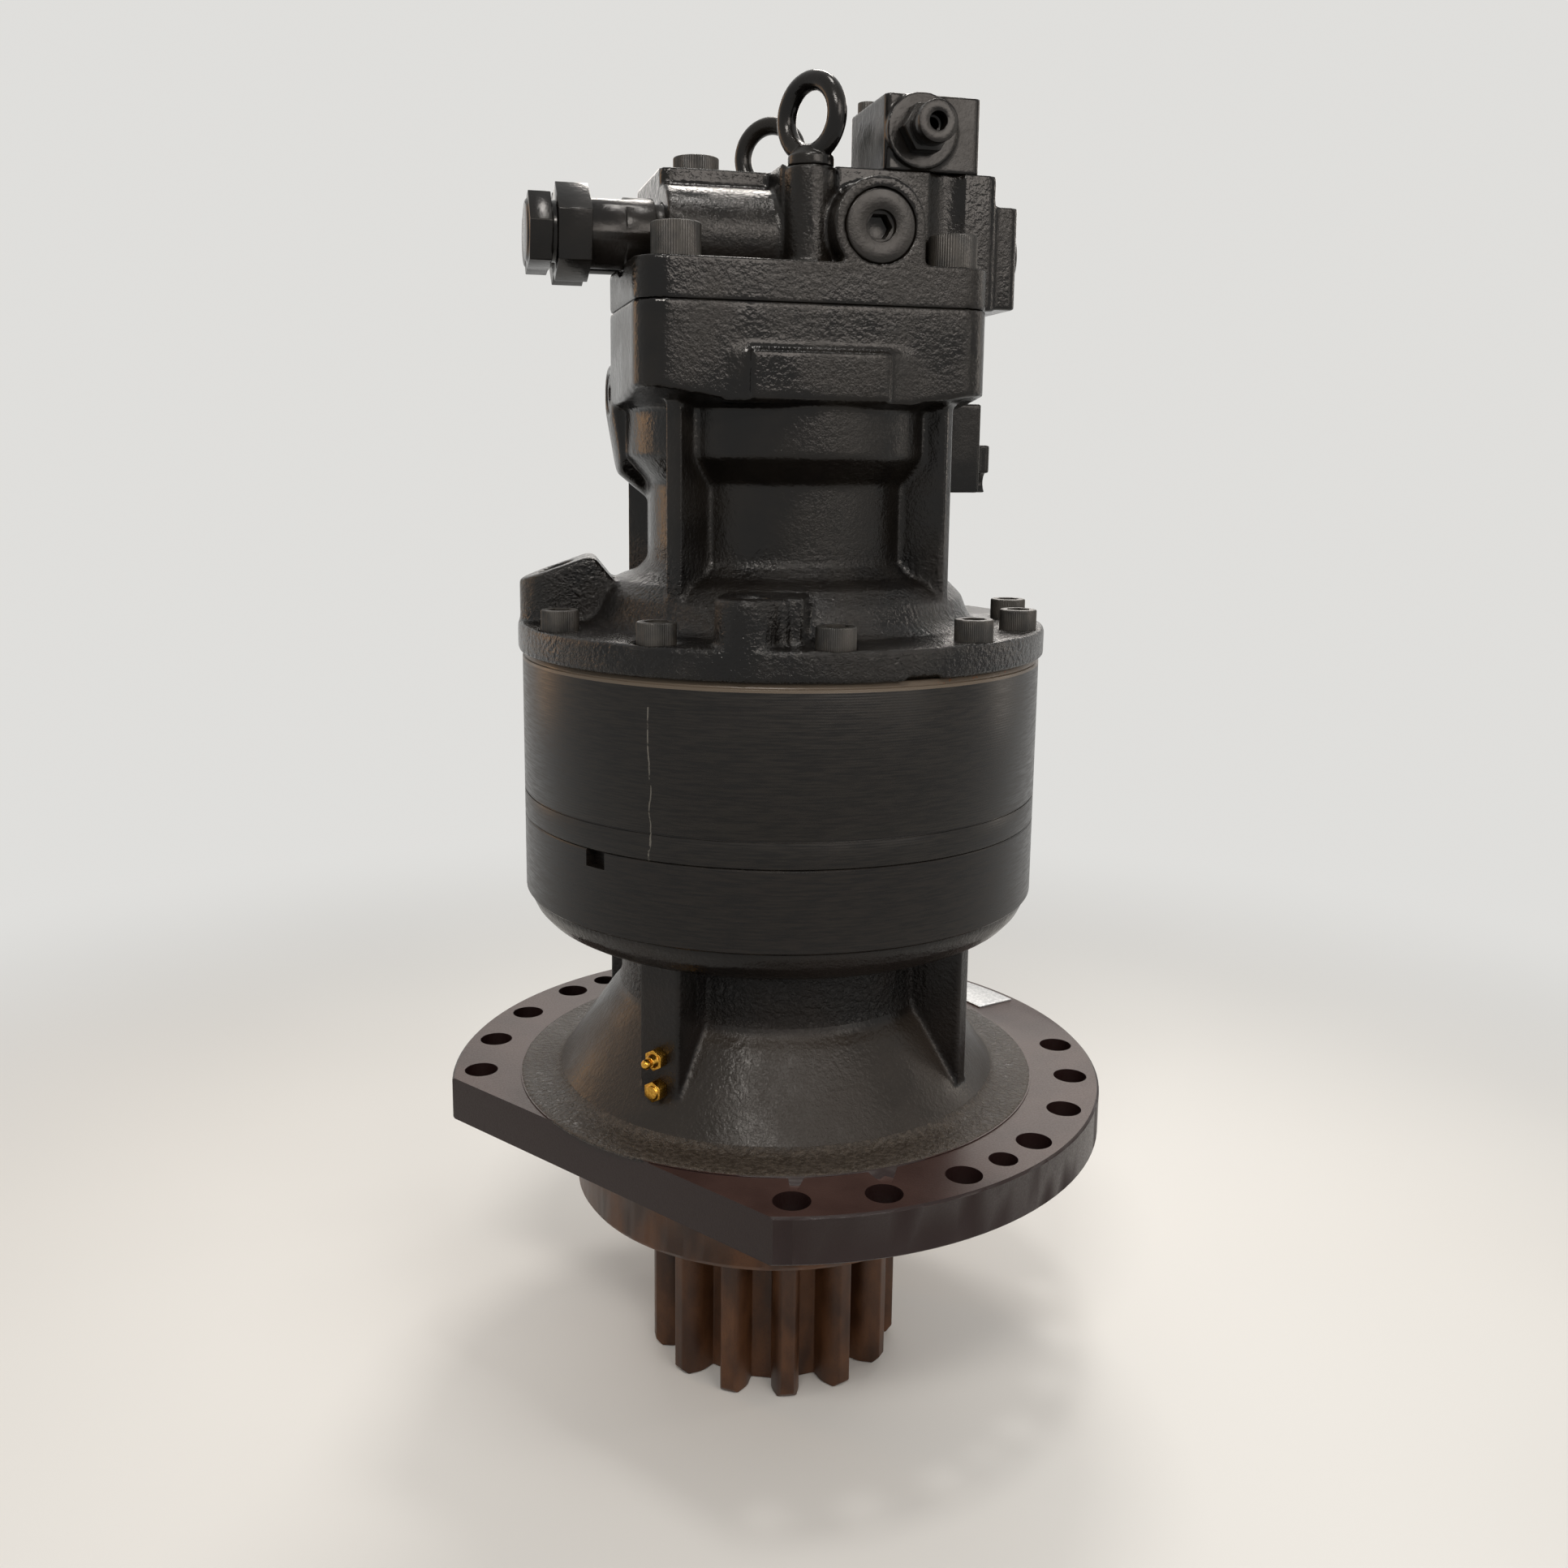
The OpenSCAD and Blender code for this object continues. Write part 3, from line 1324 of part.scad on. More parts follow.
module relief_valves() {
  color("#17181a") motor_frame() {
    for (front = [true, false]) relief_axis(front) relief_valve();
  }
}

module relief_caps() {
  color("#17181a") motor_frame() for (front = [true, false]) relief_axis(front) rotate([0, 90, 0]) {
    rotate([0, 0, 22]) at(relief_left - 81.5) hex_prism(41, 13.5);
    at(relief_left - 83) cylinder(r1 = 17, r2 = 19, h = 1.5);
    at(relief_left - 72) cylinder(r = 10, h = 38);
  }
}

module relief_poppet() {
  start = relief_left + relief_thread_l + relief_lift + poppet_seat_gap;
  rotate([0, 90, 0]) {
    at(start) cylinder(r = 9, h = relief_poppet_l - 5);
    at(start + relief_poppet_l - 5) cylinder(r1 = 9, r2 = 4, h = 5);
  }
}

module relief_poppet_front() {
  color("#c3c6c8") motor_frame() relief_axis(true) relief_poppet();
}

module relief_poppet_rear() {
  color("#c3c6c8") motor_frame() relief_axis(false) relief_poppet();
}

// Check valves: a plug with a hexagon socket, and the poppet behind it
module check_plug() {
  difference() {
    union() {
      cylinder(r = check_plug_r, h = plug_l - 1.5);
      at(plug_l - 1.5) cylinder(r1 = check_plug_r, r2 = check_plug_r - 1, h = 1.5);
    }
    at(plug_l - 4) cylinder(r = 9.3, h = 5);
    at(plug_l - 14) hex_prism(14, 12);
  }
}

module check_poppet() {
  difference() {
    union() {
      cylinder(r = check_poppet_r, h = check_poppet_l);
      at(-check_nose) cylinder(r1 = check_poppet_r - 5, r2 = check_poppet_r, h = check_nose);
    }
    at(6) cylinder(r = check_poppet_r - 3, h = check_poppet_l);
  }
}

module front_check_axis() {
  motor_frame() translate([check_front_x, -square_front + plug_l, check_front_z]) {
    rotate([90, 0, 0]) children();
  }
}

module side_check_axis() {
  motor_frame() translate([side_block_x - plug_l, check_side_y, check_side_z]) {
    rotate([0, 90, 0]) children();
  }
}

module check_plugs() {
  color("#17181a") {
    front_check_axis() check_plug();
    side_check_axis() at(2) check_plug();
  }
}

module check_poppet_front() {
  color("#c3c6c8") front_check_axis() at(check_nose + poppet_seat_gap - check_bore_l) check_poppet();
}

module check_poppet_side() {
  color("#c3c6c8") side_check_axis() at(check_nose + poppet_seat_gap - check_bore_l) check_poppet();
}

// Reversal prevention valve: a block on top of the cover, with its spool along x
module at_reversal_screws() {
  for (p = reversal_screw_places) translate([p[0], p[1], 0]) children();
}

module reversal_valve() {
  low = cover_top;
  high = low + top_block_h;
  color("#131415") motor_frame() difference() {
    union() {
      rounded_block(top_block[0], top_block[1], top_block[2], top_block[3], low, high, 4);
      along_front([fitting_x, top_block[2] + 1, fitting_z], 3.5, 22.5);
    }
    along_front([fitting_x, top_block[2] + 20, fitting_z], 40, 8 + seat);
    along_x([spool_bore_x, spool_y, spool_z], spool_bore_l, spool_r + running);
    along_x([spool_bore_x + spool_bore_l - 0.5, spool_y, spool_z], 60, spool_plug_r + seat);
    at_reversal_screws() at(low - 1) cylinder(r = 4 + screw_clear, h = top_block_h + 2);
    for (p = reversal_screw_places) translate([p[0], p[1], high - p[2]]) cylinder(r = 7.3, h = 20);
  }
}

module reversal_plug() {
  start = spool_bore_x + spool_bore_l - 0.5;
  color("#17181a") motor_frame() difference() {
    along_x([start, spool_y, spool_z], top_block[1] - start, spool_plug_r);
    translate([top_block[1] - 6, spool_y, spool_z]) rotate([0, 90, 0]) hex_prism(8, 12);
  }
}

module reversal_spool() {
  color("#c3c6c8") motor_frame() translate([spool_bore_x + spool_travel + 0.25, spool_y, spool_z]) {
    rotate([0, 90, 0]) turned([
      [0, 0], [spool_r, 0], [spool_r, 9], [4, 9], [4, 17], [spool_r, 17], [spool_r, spool_l], [0, spool_l]
    ]);
  }
}

module reversal_screws() {
  color("#1a1b1d") motor_frame() for (p = reversal_screw_places) {
    translate([p[0], p[1], cover_top + top_block_h - p[2]]) {
      cap_screw(4, top_block_h - p[2] + 14, 6.5, 8, 6);
    }
  }
}

module hose_fitting() {
  color("#17181a") motor_frame() translate([fitting_x, top_block[2] - 2.5, fitting_z]) rotate([90, 0, 0]) {
    difference() {
      union() {
        at(-16) cylinder(r = 8, h = 17);
        hex_prism(27, 11);
        at(11) cylinder(r = 11, h = 4);
        at(15) cylinder(r = 12.4, h = 13);
      }
      at(-17) cylinder(r = 4, h = 60);
      at(17) cylinder(r = 5.5, h = 20);
    }
  }
}

// Eyebolts: collar, shank and ring
module eyebolt(turn) {
  cylinder(r = eye_collar_r, h = 6);
  at(6) cylinder(r1 = eye_collar_r, r2 = 8, h = 6);
  at(-eye_shank_l) cylinder(r = eye_shank_r, h = eye_shank_l + 1);
  at(eye_ring_z) rotate([90, 0, turn]) rotate_extrude() {
    translate([eye_hole_r + eye_wire_r, 0]) circle(r = eye_wire_r, $fn = 32);
  }
}

module eyebolts() {
  color("#1b1c1e") motor_frame() {
    translate(eye_places[0]) eyebolt(-45 - motor_yaw);
    translate(eye_places[1]) eyebolt(-25 - motor_yaw);
  }
}

// Brake release valve on the right side of the casing
module at_brake_valve_screws() {
  for (y = [brake_valve_box[2] + 7, brake_valve_box[3] - 7]) {
    for (z = [brake_valve_z[0] + 7, brake_valve_z[1] - 7]) translate([0, y, z]) children();
  }
}

module brake_valve() {
  step_z = brake_valve_z[0] + 33;
  color("#131415") motor_frame() difference() {
    union() {
      rounded_block(brake_valve_box[0], brake_valve_box[1], brake_valve_box[2], brake_valve_box[3],
        brake_valve_z[0], brake_valve_z[1], 3);
      rounded_block(brake_valve_box[1] - 8, brake_valve_box[1] + 9, brake_valve_box[2] + 3,
        brake_valve_box[3] - 3, brake_valve_z[0], step_z, 3);
    }
    at_brake_valve_screws() along_x([brake_valve_box[0] - 1, 0, 0], 80, 4 + screw_clear);
    at_brake_valve_screws() along_x([brake_head_x, 0, 0], 80, 7.3);
    along_front([brake_valve_box[1] - 22, brake_valve_box[2] + 12, step_z + 8], 13, 6);
  }
}

module brake_valve_screws() {
  color("#1a1b1d") motor_frame() at_brake_valve_screws() translate([brake_head_x, 0, 0]) {
    rotate([0, 90, 0]) cap_screw(4, brake_head_x - brake_valve_box[0] + 9, 6.5, 8, 6);
  }
}

output_housing();
pinion_shaft();
output_outer_races();
output_inner_races();
output_rollers();
shaft_seal();
label_plate();
grease_fittings();
ring_gear();
carrier_2();
planet_2a();
planet_2b();
planet_2c();
planet_pins_2();
sun_2();
carrier_1();
planet_1a();
planet_1b();
planet_1c();
planet_pins_1();
sun_1();
thrust_pads();
motor_casing();
casing_screws();
motor_shaft();
motor_outer_races();
motor_inner_races();
motor_rollers();
motor_seal();
swash_plate();
piston_shoes();
retainer_plate();
pistons();
cylinder_block();
block_spring();
spring_retainer();
valve_plate();
friction_discs();
separator_plates();
brake_piston();
brake_springs();
valve_cover();
cover_screws();
relief_valves();
relief_caps();
relief_poppet_front();
relief_poppet_rear();
check_plugs();
check_poppet_front();
check_poppet_side();
reversal_valve();
reversal_plug();
reversal_screws();
reversal_spool();
hose_fitting();
eyebolts();
brake_valve();
brake_valve_screws();
drain_plug();
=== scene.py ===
"""Looks of an excavator's swing motor: a hydraulic motor on a planetary gearbox with an output pinion.

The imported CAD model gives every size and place. Each visible piece is a merged copy of its CAD node
or a new mesh, with the fillets, knurls and chamfers that the real castings, screws and valves have.
The frame is that of the CAD model. Shapes are given in millimetres, which MM turns into Blender's
metres. The limits in materials, the lamps and the camera are in metres.
"""

import json
import math

import bpy
from mathutils import Matrix, Quaternion, Vector

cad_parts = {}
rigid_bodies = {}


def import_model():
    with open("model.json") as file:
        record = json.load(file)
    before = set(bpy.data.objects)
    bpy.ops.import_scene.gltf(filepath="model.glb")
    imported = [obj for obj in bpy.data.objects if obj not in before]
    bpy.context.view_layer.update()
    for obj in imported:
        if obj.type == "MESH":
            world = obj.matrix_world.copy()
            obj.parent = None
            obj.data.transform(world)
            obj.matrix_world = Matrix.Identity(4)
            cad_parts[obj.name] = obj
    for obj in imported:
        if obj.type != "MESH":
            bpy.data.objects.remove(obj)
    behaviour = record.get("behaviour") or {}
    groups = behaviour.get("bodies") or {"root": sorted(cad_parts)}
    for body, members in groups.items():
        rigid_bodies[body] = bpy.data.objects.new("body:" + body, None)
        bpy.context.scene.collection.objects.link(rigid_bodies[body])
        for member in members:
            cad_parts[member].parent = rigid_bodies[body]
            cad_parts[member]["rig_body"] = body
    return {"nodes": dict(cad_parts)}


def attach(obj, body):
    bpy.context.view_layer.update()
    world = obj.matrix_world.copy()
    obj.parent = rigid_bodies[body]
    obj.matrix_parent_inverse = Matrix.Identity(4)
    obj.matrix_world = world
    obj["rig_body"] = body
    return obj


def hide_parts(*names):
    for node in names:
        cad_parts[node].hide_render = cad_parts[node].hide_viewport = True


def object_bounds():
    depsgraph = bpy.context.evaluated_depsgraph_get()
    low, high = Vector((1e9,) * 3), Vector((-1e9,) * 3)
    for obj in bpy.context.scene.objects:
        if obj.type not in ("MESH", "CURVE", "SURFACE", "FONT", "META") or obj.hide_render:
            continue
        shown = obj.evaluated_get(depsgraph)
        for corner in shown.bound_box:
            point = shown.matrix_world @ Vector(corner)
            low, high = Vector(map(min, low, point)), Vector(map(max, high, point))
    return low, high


bl_info = {
    "name": "Swing motor",
    "version": (1, 0, 0),
    "blender": (4, 5, 0),
    "location": "View3D > Sidebar > Swing motor",
    "description": "Builds the looks of a swing motor around its CAD model",
    "category": "Object",
}

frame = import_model()
CAD_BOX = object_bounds()
NODES = frame["nodes"]

MM = 0.001
# The motor is turned on the gearbox by this angle
MOTOR_YAW = math.radians(14.4)
# The most triangles of one casting, and the sides of a turned solid
TRIANGLE_LIMIT = 170000
ROUND_SIDES = 192
BACKDROP = "#f4f3f0"
BACKDROP_LEVEL = 0.82


# Helpers for meshes


def motor_point(x, y, z):
    """A point of the motor's own frame, in millimetres, as a point of the model."""
    c, s = math.cos(MOTOR_YAW), math.sin(MOTOR_YAW)
    return Vector(((x * c - y * s) * MM, (x * s + y * c) * MM, z * MM))


def only(obj):
    """Selects one object and makes it active."""
    if bpy.context.mode != "OBJECT":
        bpy.ops.object.mode_set(mode="OBJECT")
    bpy.ops.object.select_all(action="DESELECT")
    obj.select_set(True)
    bpy.context.view_layer.objects.active = obj
    return obj


def edit(obj, mode):
    """Opens one object in edit mode with nothing selected."""
    only(obj)
    bpy.ops.object.mode_set(mode="EDIT")
    bpy.ops.mesh.select_mode(type=mode)
    bpy.ops.mesh.select_all(action="DESELECT")
    bpy.ops.object.mode_set(mode="OBJECT")


def select_edges(obj, test):
    """Selects the edges whose two ends pass the test, and opens edit mode."""
    edit(obj, "EDGE")
    points = obj.data.vertices
    for line in obj.data.edges:
        line.select = bool(test(points[line.vertices[0]].co, points[line.vertices[1]].co))
    bpy.ops.object.mode_set(mode="EDIT")


def select_points(obj, test):
    """Selects the points that pass the test, and opens edit mode."""
    edit(obj, "VERT")
    for point in obj.data.vertices:
        point.select = bool(test(point.co))
    bpy.ops.object.mode_set(mode="EDIT")


def done(obj):
    """Back to object mode."""
    bpy.ops.object.mode_set(mode="OBJECT")
    return obj


def shape(obj, kind, **settings):
    """Adds a modifier to the object and applies it."""
    only(obj)
    modifier = obj.modifiers.new(kind.title(), kind)
    for key, value in settings.items():
        setattr(modifier, key, value)
    bpy.ops.object.modifier_apply(modifier=modifier.name)
    return obj


def smooth(obj, degrees):
    """Shades smooth, with edges above the angle kept sharp."""
    only(obj)
    bpy.ops.object.shade_smooth_by_angle(angle=math.radians(degrees))
    return obj


def place(obj):
    """Puts the object's place and turn into its mesh."""
    only(obj)
    bpy.ops.object.transform_apply(location=True, rotation=True, scale=True)
    return obj


def merged_copy(node, name):
    """A copy of a CAD node's mesh with its loose triangles joined."""
    obj = bpy.data.objects.new(name, NODES[node].data.copy())
    bpy.context.scene.collection.objects.link(obj)
    obj.data.materials.clear()
    edit(obj, "VERT")
    bpy.ops.object.mode_set(mode="EDIT")
    bpy.ops.mesh.select_all(action="SELECT")
    bpy.ops.mesh.remove_doubles(threshold=0.00001)
    return done(obj)


def crisp_copy(node, name, bevel, segments, angle):
    """A machined piece: the CAD node's copy with its sharp edges broken by a small bevel."""
    obj = merged_copy(node, name)
    shape(
        obj, "BEVEL", width=bevel * MM, segments=segments, limit_method="ANGLE",
        angle_limit=math.radians(angle), use_clamp_overlap=False, miter_outer="MITER_ARC",
    )
    return smooth(obj, angle)


def join(obj, others):
    """Makes several meshes one object."""
    only(obj)
    for other in others:
        other.select_set(True)
    bpy.ops.object.join()
    return obj


def round_block(radius, low, high, vertices=96):
    """An upright cylinder round the model's axis, in millimetres."""
    middle = (0, 0, (high + low) / 2 * MM)
    bpy.ops.mesh.primitive_cylinder_add(
        vertices=vertices, radius=radius * MM, depth=(high - low) * MM, location=middle
    )
    return place(bpy.context.object)


def square_block(low, high, turn):
    """A block between two corners, in millimetres, turned about the model's axis."""
    middle = Vector([(a + b) / 2 * MM for a, b in zip(low, high)])
    bpy.ops.mesh.primitive_cube_add(size=1, location=middle)
    block = bpy.context.object
    block.scale = [(b - a) * MM for a, b in zip(low, high)]
    place(block).data.transform(Matrix.Rotation(turn, 4, "Z"))
    return block


def fill_inside(obj, blocks):
    """Joins plain cylinders to a hollow casting, so that only its outside is rebuilt."""
    return join(obj, [round_block(*block) for block in blocks])


def turned_solid(name, profile):
    """A solid of revolution: a disc extruded and resized from each radius and height to the next."""
    radius, height = profile[0]
    bpy.ops.mesh.primitive_circle_add(
        vertices=ROUND_SIDES, radius=radius * MM, fill_type="NGON", location=(0, 0, height * MM)
    )
    obj = place(bpy.context.object)
    obj.name = name
    bpy.ops.object.mode_set(mode="EDIT")
    bpy.ops.mesh.select_mode(type="FACE")
    bpy.ops.mesh.select_all(action="SELECT")
    for next_radius, next_height in profile[1:]:
        rise = (next_height - height) * MM
        bpy.ops.mesh.extrude_region_move(TRANSFORM_OT_translate={"value": (0, 0, rise)})
        share = next_radius / radius
        bpy.ops.transform.resize(value=(share, share, 1), center_override=(0, 0, 0))
        radius, height = next_radius, next_height
    bpy.ops.mesh.select_all(action="SELECT")
    bpy.ops.mesh.normals_make_consistent(inside=False)
    return done(obj)


def cast_surface(obj, voxel, rounds, wave, wave_size, turn=0.0):
    """Rebuilds a solid as a casting: rounded edges and fillets, and a slightly uneven skin.

    The turn is that of the casting's flat sides, so that the mesh's grid runs along them.
    """
    obj.data.transform(Matrix.Rotation(-turn, 4, "Z"))
    shape(obj, "REMESH", mode="VOXEL", voxel_size=voxel * MM, use_smooth_shade=True)
    shape(obj, "SMOOTH", factor=0.6, iterations=rounds)
    if wave:
        clouds = bpy.data.textures.new("Sand mould", "CLOUDS")
        clouds.noise_scale = wave_size * MM
        clouds.noise_depth = 2
        shape(obj, "DISPLACE", texture=clouds, texture_coords="LOCAL", strength=wave * MM, mid_level=0.5)
    triangles = 2 * len(obj.data.polygons)
    if triangles > TRIANGLE_LIMIT:
        shape(obj, "DECIMATE", ratio=TRIANGLE_LIMIT / triangles)
    obj.data.transform(Matrix.Rotation(turn, 4, "Z"))
    only(obj)
    bpy.ops.object.shade_smooth()
    return obj


def cut_at(obj, height, keep_above=True):
    """Keeps the part of a solid above or below a height, and closes it."""
    edit(obj, "FACE")
    bpy.ops.object.mode_set(mode="EDIT")
    bpy.ops.mesh.select_all(action="SELECT")
    bpy.ops.mesh.bisect(
        plane_co=(0, 0, height * MM), plane_no=(0, 0, 1), use_fill=True,
        clear_inner=keep_above, clear_outer=not keep_above,
    )
    return done(obj)


def dress(obj, body, slot, material, *nodes):
    """Gives a finished piece its material and its body, and hides the nodes it stands for; the slot is not
    used.
    """
    obj.data.materials.clear()
    obj.data.materials.append(material)
    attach(obj, body)
    if nodes:
        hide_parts(*nodes)
    return obj


def body_of(node):
    """The name of the body that a CAD node rides on."""
    return NODES[node]["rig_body"]


# Helpers for materials


def colour(value):
    """An sRGB hex value as linear red, green, blue and alpha."""
    value = value.lstrip("#")
    parts = [int(value[i:i + 2], 16) / 255 for i in (0, 2, 4)]
    return (*[c / 12.92 if c <= 0.04045 else ((c + 0.055) / 1.055) ** 2.4 for c in parts], 1.0)


def add(tree, kind, inputs=(), **settings):
    """Adds a node, sets its properties, and fills or links its inputs."""
    made = tree.nodes.new(kind)
    for key, value in settings.items():
        setattr(made, key, value)
    for socket, value in dict(inputs).items():
        if isinstance(value, bpy.types.NodeSocket):
            tree.links.new(value, made.inputs[socket])
        else:
            made.inputs[socket].default_value = value
    return made


def start_material(name, roughness, metallic=0.0, **sockets):
    """A new material with its shader and the object's own coordinates."""
    material = bpy.data.materials.new(name)
    material.use_nodes = True
    tree = material.node_tree
    shader = tree.nodes["Principled BSDF"]
    shader.inputs["Roughness"].default_value = roughness
    shader.inputs["Metallic"].default_value = metallic
    for socket, value in sockets.items():
        shader.inputs[socket.replace("_", " ")].default_value = value
    place_of = add(tree, "ShaderNodeTexCoord").outputs["Object"]
    return material, tree, shader, place_of


def spots(tree, place_of, size, detail, low=0.35, high=0.65, rough=0.55):
    """Noise with features of the given size in millimetres, spread between two limits."""
    noise = add(
        tree, "ShaderNodeTexNoise",
        {"Vector": place_of, "Scale": 1 / (size * MM), "Detail": detail, "Roughness": rough},
    )
    spread = add(
        tree, "ShaderNodeMapRange",
        {"Value": noise.outputs["Fac"], "From Min": low, "From Max": high}, interpolation_type="SMOOTHSTEP",
    )
    return spread.outputs["Result"]


def blend_colours(tree, share, first, second):
    """Mixes two colours, given as hex values or as sockets."""
    ends = [colour(c) if isinstance(c, str) else c for c in (first, second)]
    mix = add(tree, "ShaderNodeMix", data_type="RGBA")
    for socket, value in ((0, share), (6, ends[0]), (7, ends[1])):
        if isinstance(value, bpy.types.NodeSocket):
            tree.links.new(value, mix.inputs[socket])
        else:
            mix.inputs[socket].default_value = value
    return mix.outputs[2]


def sums(tree, kind, first, second):
    """One step of arithmetic."""
    return add(tree, "ShaderNodeMath", {0: first, 1: second}, operation=kind).outputs[0]


def set_roughness(tree, shader, share, low, high):
    """Roughness that varies with a share between two limits."""
    spread = add(tree, "ShaderNodeMapRange", {"Value": share, "To Min": low, "To Max": high})
    tree.links.new(spread.outputs["Result"], shader.inputs["Roughness"])


def set_bumps(tree, shader, bumps):
    """Chains bumps, each a height and its depth in millimetres, into the shader's normal."""
    normal = None
    for height, depth in bumps:
        links = {"Height": height, "Strength": 1.0, "Distance": depth * MM}
        if normal:
            links["Normal"] = normal
        normal = add(tree, "ShaderNodeBump", links).outputs["Normal"]
    tree.links.new(normal, shader.inputs["Normal"])


def axis_value(tree, place_of, axis):
    """One coordinate of the object, in metres."""
    return add(tree, "ShaderNodeSeparateXYZ", {"Vector": place_of}).outputs[axis]


def facing_up(tree):
    """How far a surface faces up, from -1 to 1."""
    normal = add(tree, "ShaderNodeNewGeometry").outputs["Normal"]
    return add(tree, "ShaderNodeSeparateXYZ", {"Vector": normal}).outputs["Z"]


def gloss_enamel(name, base, dust, roughness, grain, coarse_below=None):
    """Gloss enamel sprayed over sand cast iron: it flows into an orange peel, and the sand still shows.

    Above the given height, in metres, the casting's skin is finer.
    """
    material, tree, shader, place_of = start_material(name, roughness, IOR=1.34)
    wide = spots(tree, place_of, 60, detail=4)
    peel = spots(tree, place_of, 3.0, detail=2, low=0.3, high=0.7)
    sand = spots(tree, place_of, 1.4, detail=3, low=0.4, high=0.75, rough=0.7)
    pits = spots(tree, place_of, 7.0, detail=5, low=0.62, high=0.78, rough=0.7)
    rough_zone = sums(tree, "MULTIPLY", sand, wide)
    if coarse_below:
        height = axis_value(tree, place_of, "Z")
        between = {"From Min": coarse_below - 0.01, "From Max": coarse_below + 0.01}
        share = add(
            tree, "ShaderNodeMapRange", {"Value": height, **between, "To Min": 1, "To Max": 0.3}
        ).outputs["Result"]
        peel = sums(tree, "MULTIPLY", peel, share)
        rough_zone = sums(tree, "MULTIPLY", rough_zone, share)
    settled = blend_colours(tree, wide, base, dust)
    tree.links.new(settled, shader.inputs["Base Color"])
    set_roughness(tree, shader, wide, roughness * 0.8, roughness * 1.35)
    bumps = [(peel, 0.36 * grain), (rough_zone, 0.34 * grain), (pits, -0.05 * grain)]
    set_bumps(tree, shader, bumps)
    return material, tree, shader, place_of, bumps


def housing_enamel(name, base, dust):
    """Satin enamel on the housing: sand marks on the neck, pale specks round the foot of the cone."""
    material, tree, shader, place_of, bumps = gloss_enamel(name, base, dust, 0.3, 0.35)
    foot_radius, foot_top = 0.153, 0.036
    neck_radius, neck_bottom = 0.122, 0.096
    x, y, height = (axis_value(tree, place_of, axis) for axis in "XYZ")
    flat = add(tree, "ShaderNodeCombineXYZ", {"X": x, "Y": y}).outputs["Vector"]
    radius = add(tree, "ShaderNodeVectorMath", {0: flat}, operation="LENGTH").outputs["Value"]
    outside_foot = sums(tree, "GREATER_THAN", radius, foot_radius)
    foot = sums(tree, "MULTIPLY", outside_foot, sums(tree, "LESS_THAN", height, foot_top))
    inside_neck = sums(tree, "LESS_THAN", radius, neck_radius)
    neck = sums(tree, "MULTIPLY", inside_neck, sums(tree, "GREATER_THAN", height, neck_bottom))
    coarse = spots(tree, place_of, 3.4, detail=4, low=0.35, high=0.7, rough=0.65)
    marks = sums(tree, "MULTIPLY", coarse, sums(tree, "MAXIMUM", foot, neck))
    set_bumps(tree, shader, [*bumps, (marks, 0.6)])
    # Upward faces are painted paler: partly dust, and partly painted light, as if they reflected the light
    # from above
    up = facing_up(tree)
    dust_and_top_light = add(tree, "ShaderNodeMapRange", {"Value": up, "From Min": 0.3, "From Max": 0.9, "To Max": 0.8})
    paint = shader.inputs["Base Color"].links[0].from_socket
    dust_and_top_lit_colour = blend_colours(tree, dust_and_top_light.outputs["Result"], paint, "#3a332c")
    specks = sums(tree, "MULTIPLY", sums(tree, "MULTIPLY", coarse, foot), 0.5)
    tree.links.new(blend_colours(tree, specks, dust_and_top_lit_colour, "#5d544b"), shader.inputs["Base Color"])
    return material


def flange_paint(name, base):
    """Thin maroon-brown paint on the machined flange; its upper face is painted paler, partly dust and
    partly painted reflected light.
    """
    material, tree, shader, place_of = start_material(name, 0.36, IOR=1.36)
    fine = spots(tree, place_of, 1.3, detail=4)
    wide = spots(tree, place_of, 50, detail=5, low=0.3, high=0.7)
    # The upper face is painted paler: partly dust, and partly painted reflected light from behind
    dust_and_top_light = sums(tree, "MULTIPLY", sums(tree, "GREATER_THAN", facing_up(tree), 0.9), 0.5)
    dust = sums(tree, "MULTIPLY", dust_and_top_light, sums(tree, "ADD", sums(tree, "MULTIPLY", wide, 0.5), 0.5))
    tree.links.new(blend_colours(tree, dust, base, "#59443e"), shader.inputs["Base Color"])
    set_roughness(tree, shader, fine, 0.33, 0.44)
    set_bumps(tree, shader, [(fine, 0.02)])
    return material


def black_oxide(name, base):
    """Black oxide on alloy steel screws, oiled: dark, slightly metallic, with worn high spots."""
    material, tree, shader, place_of = start_material(name, 0.4, 0.2)
    fine = spots(tree, place_of, 1.6, detail=4)
    wide = spots(tree, place_of, 14, detail=3)
    tree.links.new(blend_colours(tree, wide, base, "#33302c"), shader.inputs["Base Color"])
    set_roughness(tree, shader, fine, 0.34, 0.5)
    set_bumps(tree, shader, [(fine, 0.03)])
    return material


def painted_turning(name, base, edge, roughness, pitch, depth):
    """Thin paint on turned steel: fine rings from the lathe's feed show through it."""
    material, tree, shader, place_of = start_material(name, roughness, IOR=1.34)
    high = axis_value(tree, place_of, "Z")
    wobble = spots(tree, place_of, 30, detail=2)
    drift = sums(tree, "ADD", high, sums(tree, "MULTIPLY", wobble, 0.0002))
    phase = sums(tree, "MULTIPLY", drift, 2 * math.pi / (pitch * MM))
    feed = add(tree, "ShaderNodeMath", {0: phase}, operation="SINE").outputs[0]
    flat = add(tree, "ShaderNodeMapping", {"Vector": place_of, "Scale": (1, 1, 14)}).outputs["Vector"]
    streaks = spots(tree, flat, 18, detail=5, rough=0.65)
    tree.links.new(blend_colours(tree, streaks, base, edge), shader.inputs["Base Color"])
    set_roughness(tree, shader, streaks, roughness * 0.85, roughness * 1.2)
    set_bumps(tree, shader, [(feed, depth)])
    return material, tree, shader, place_of


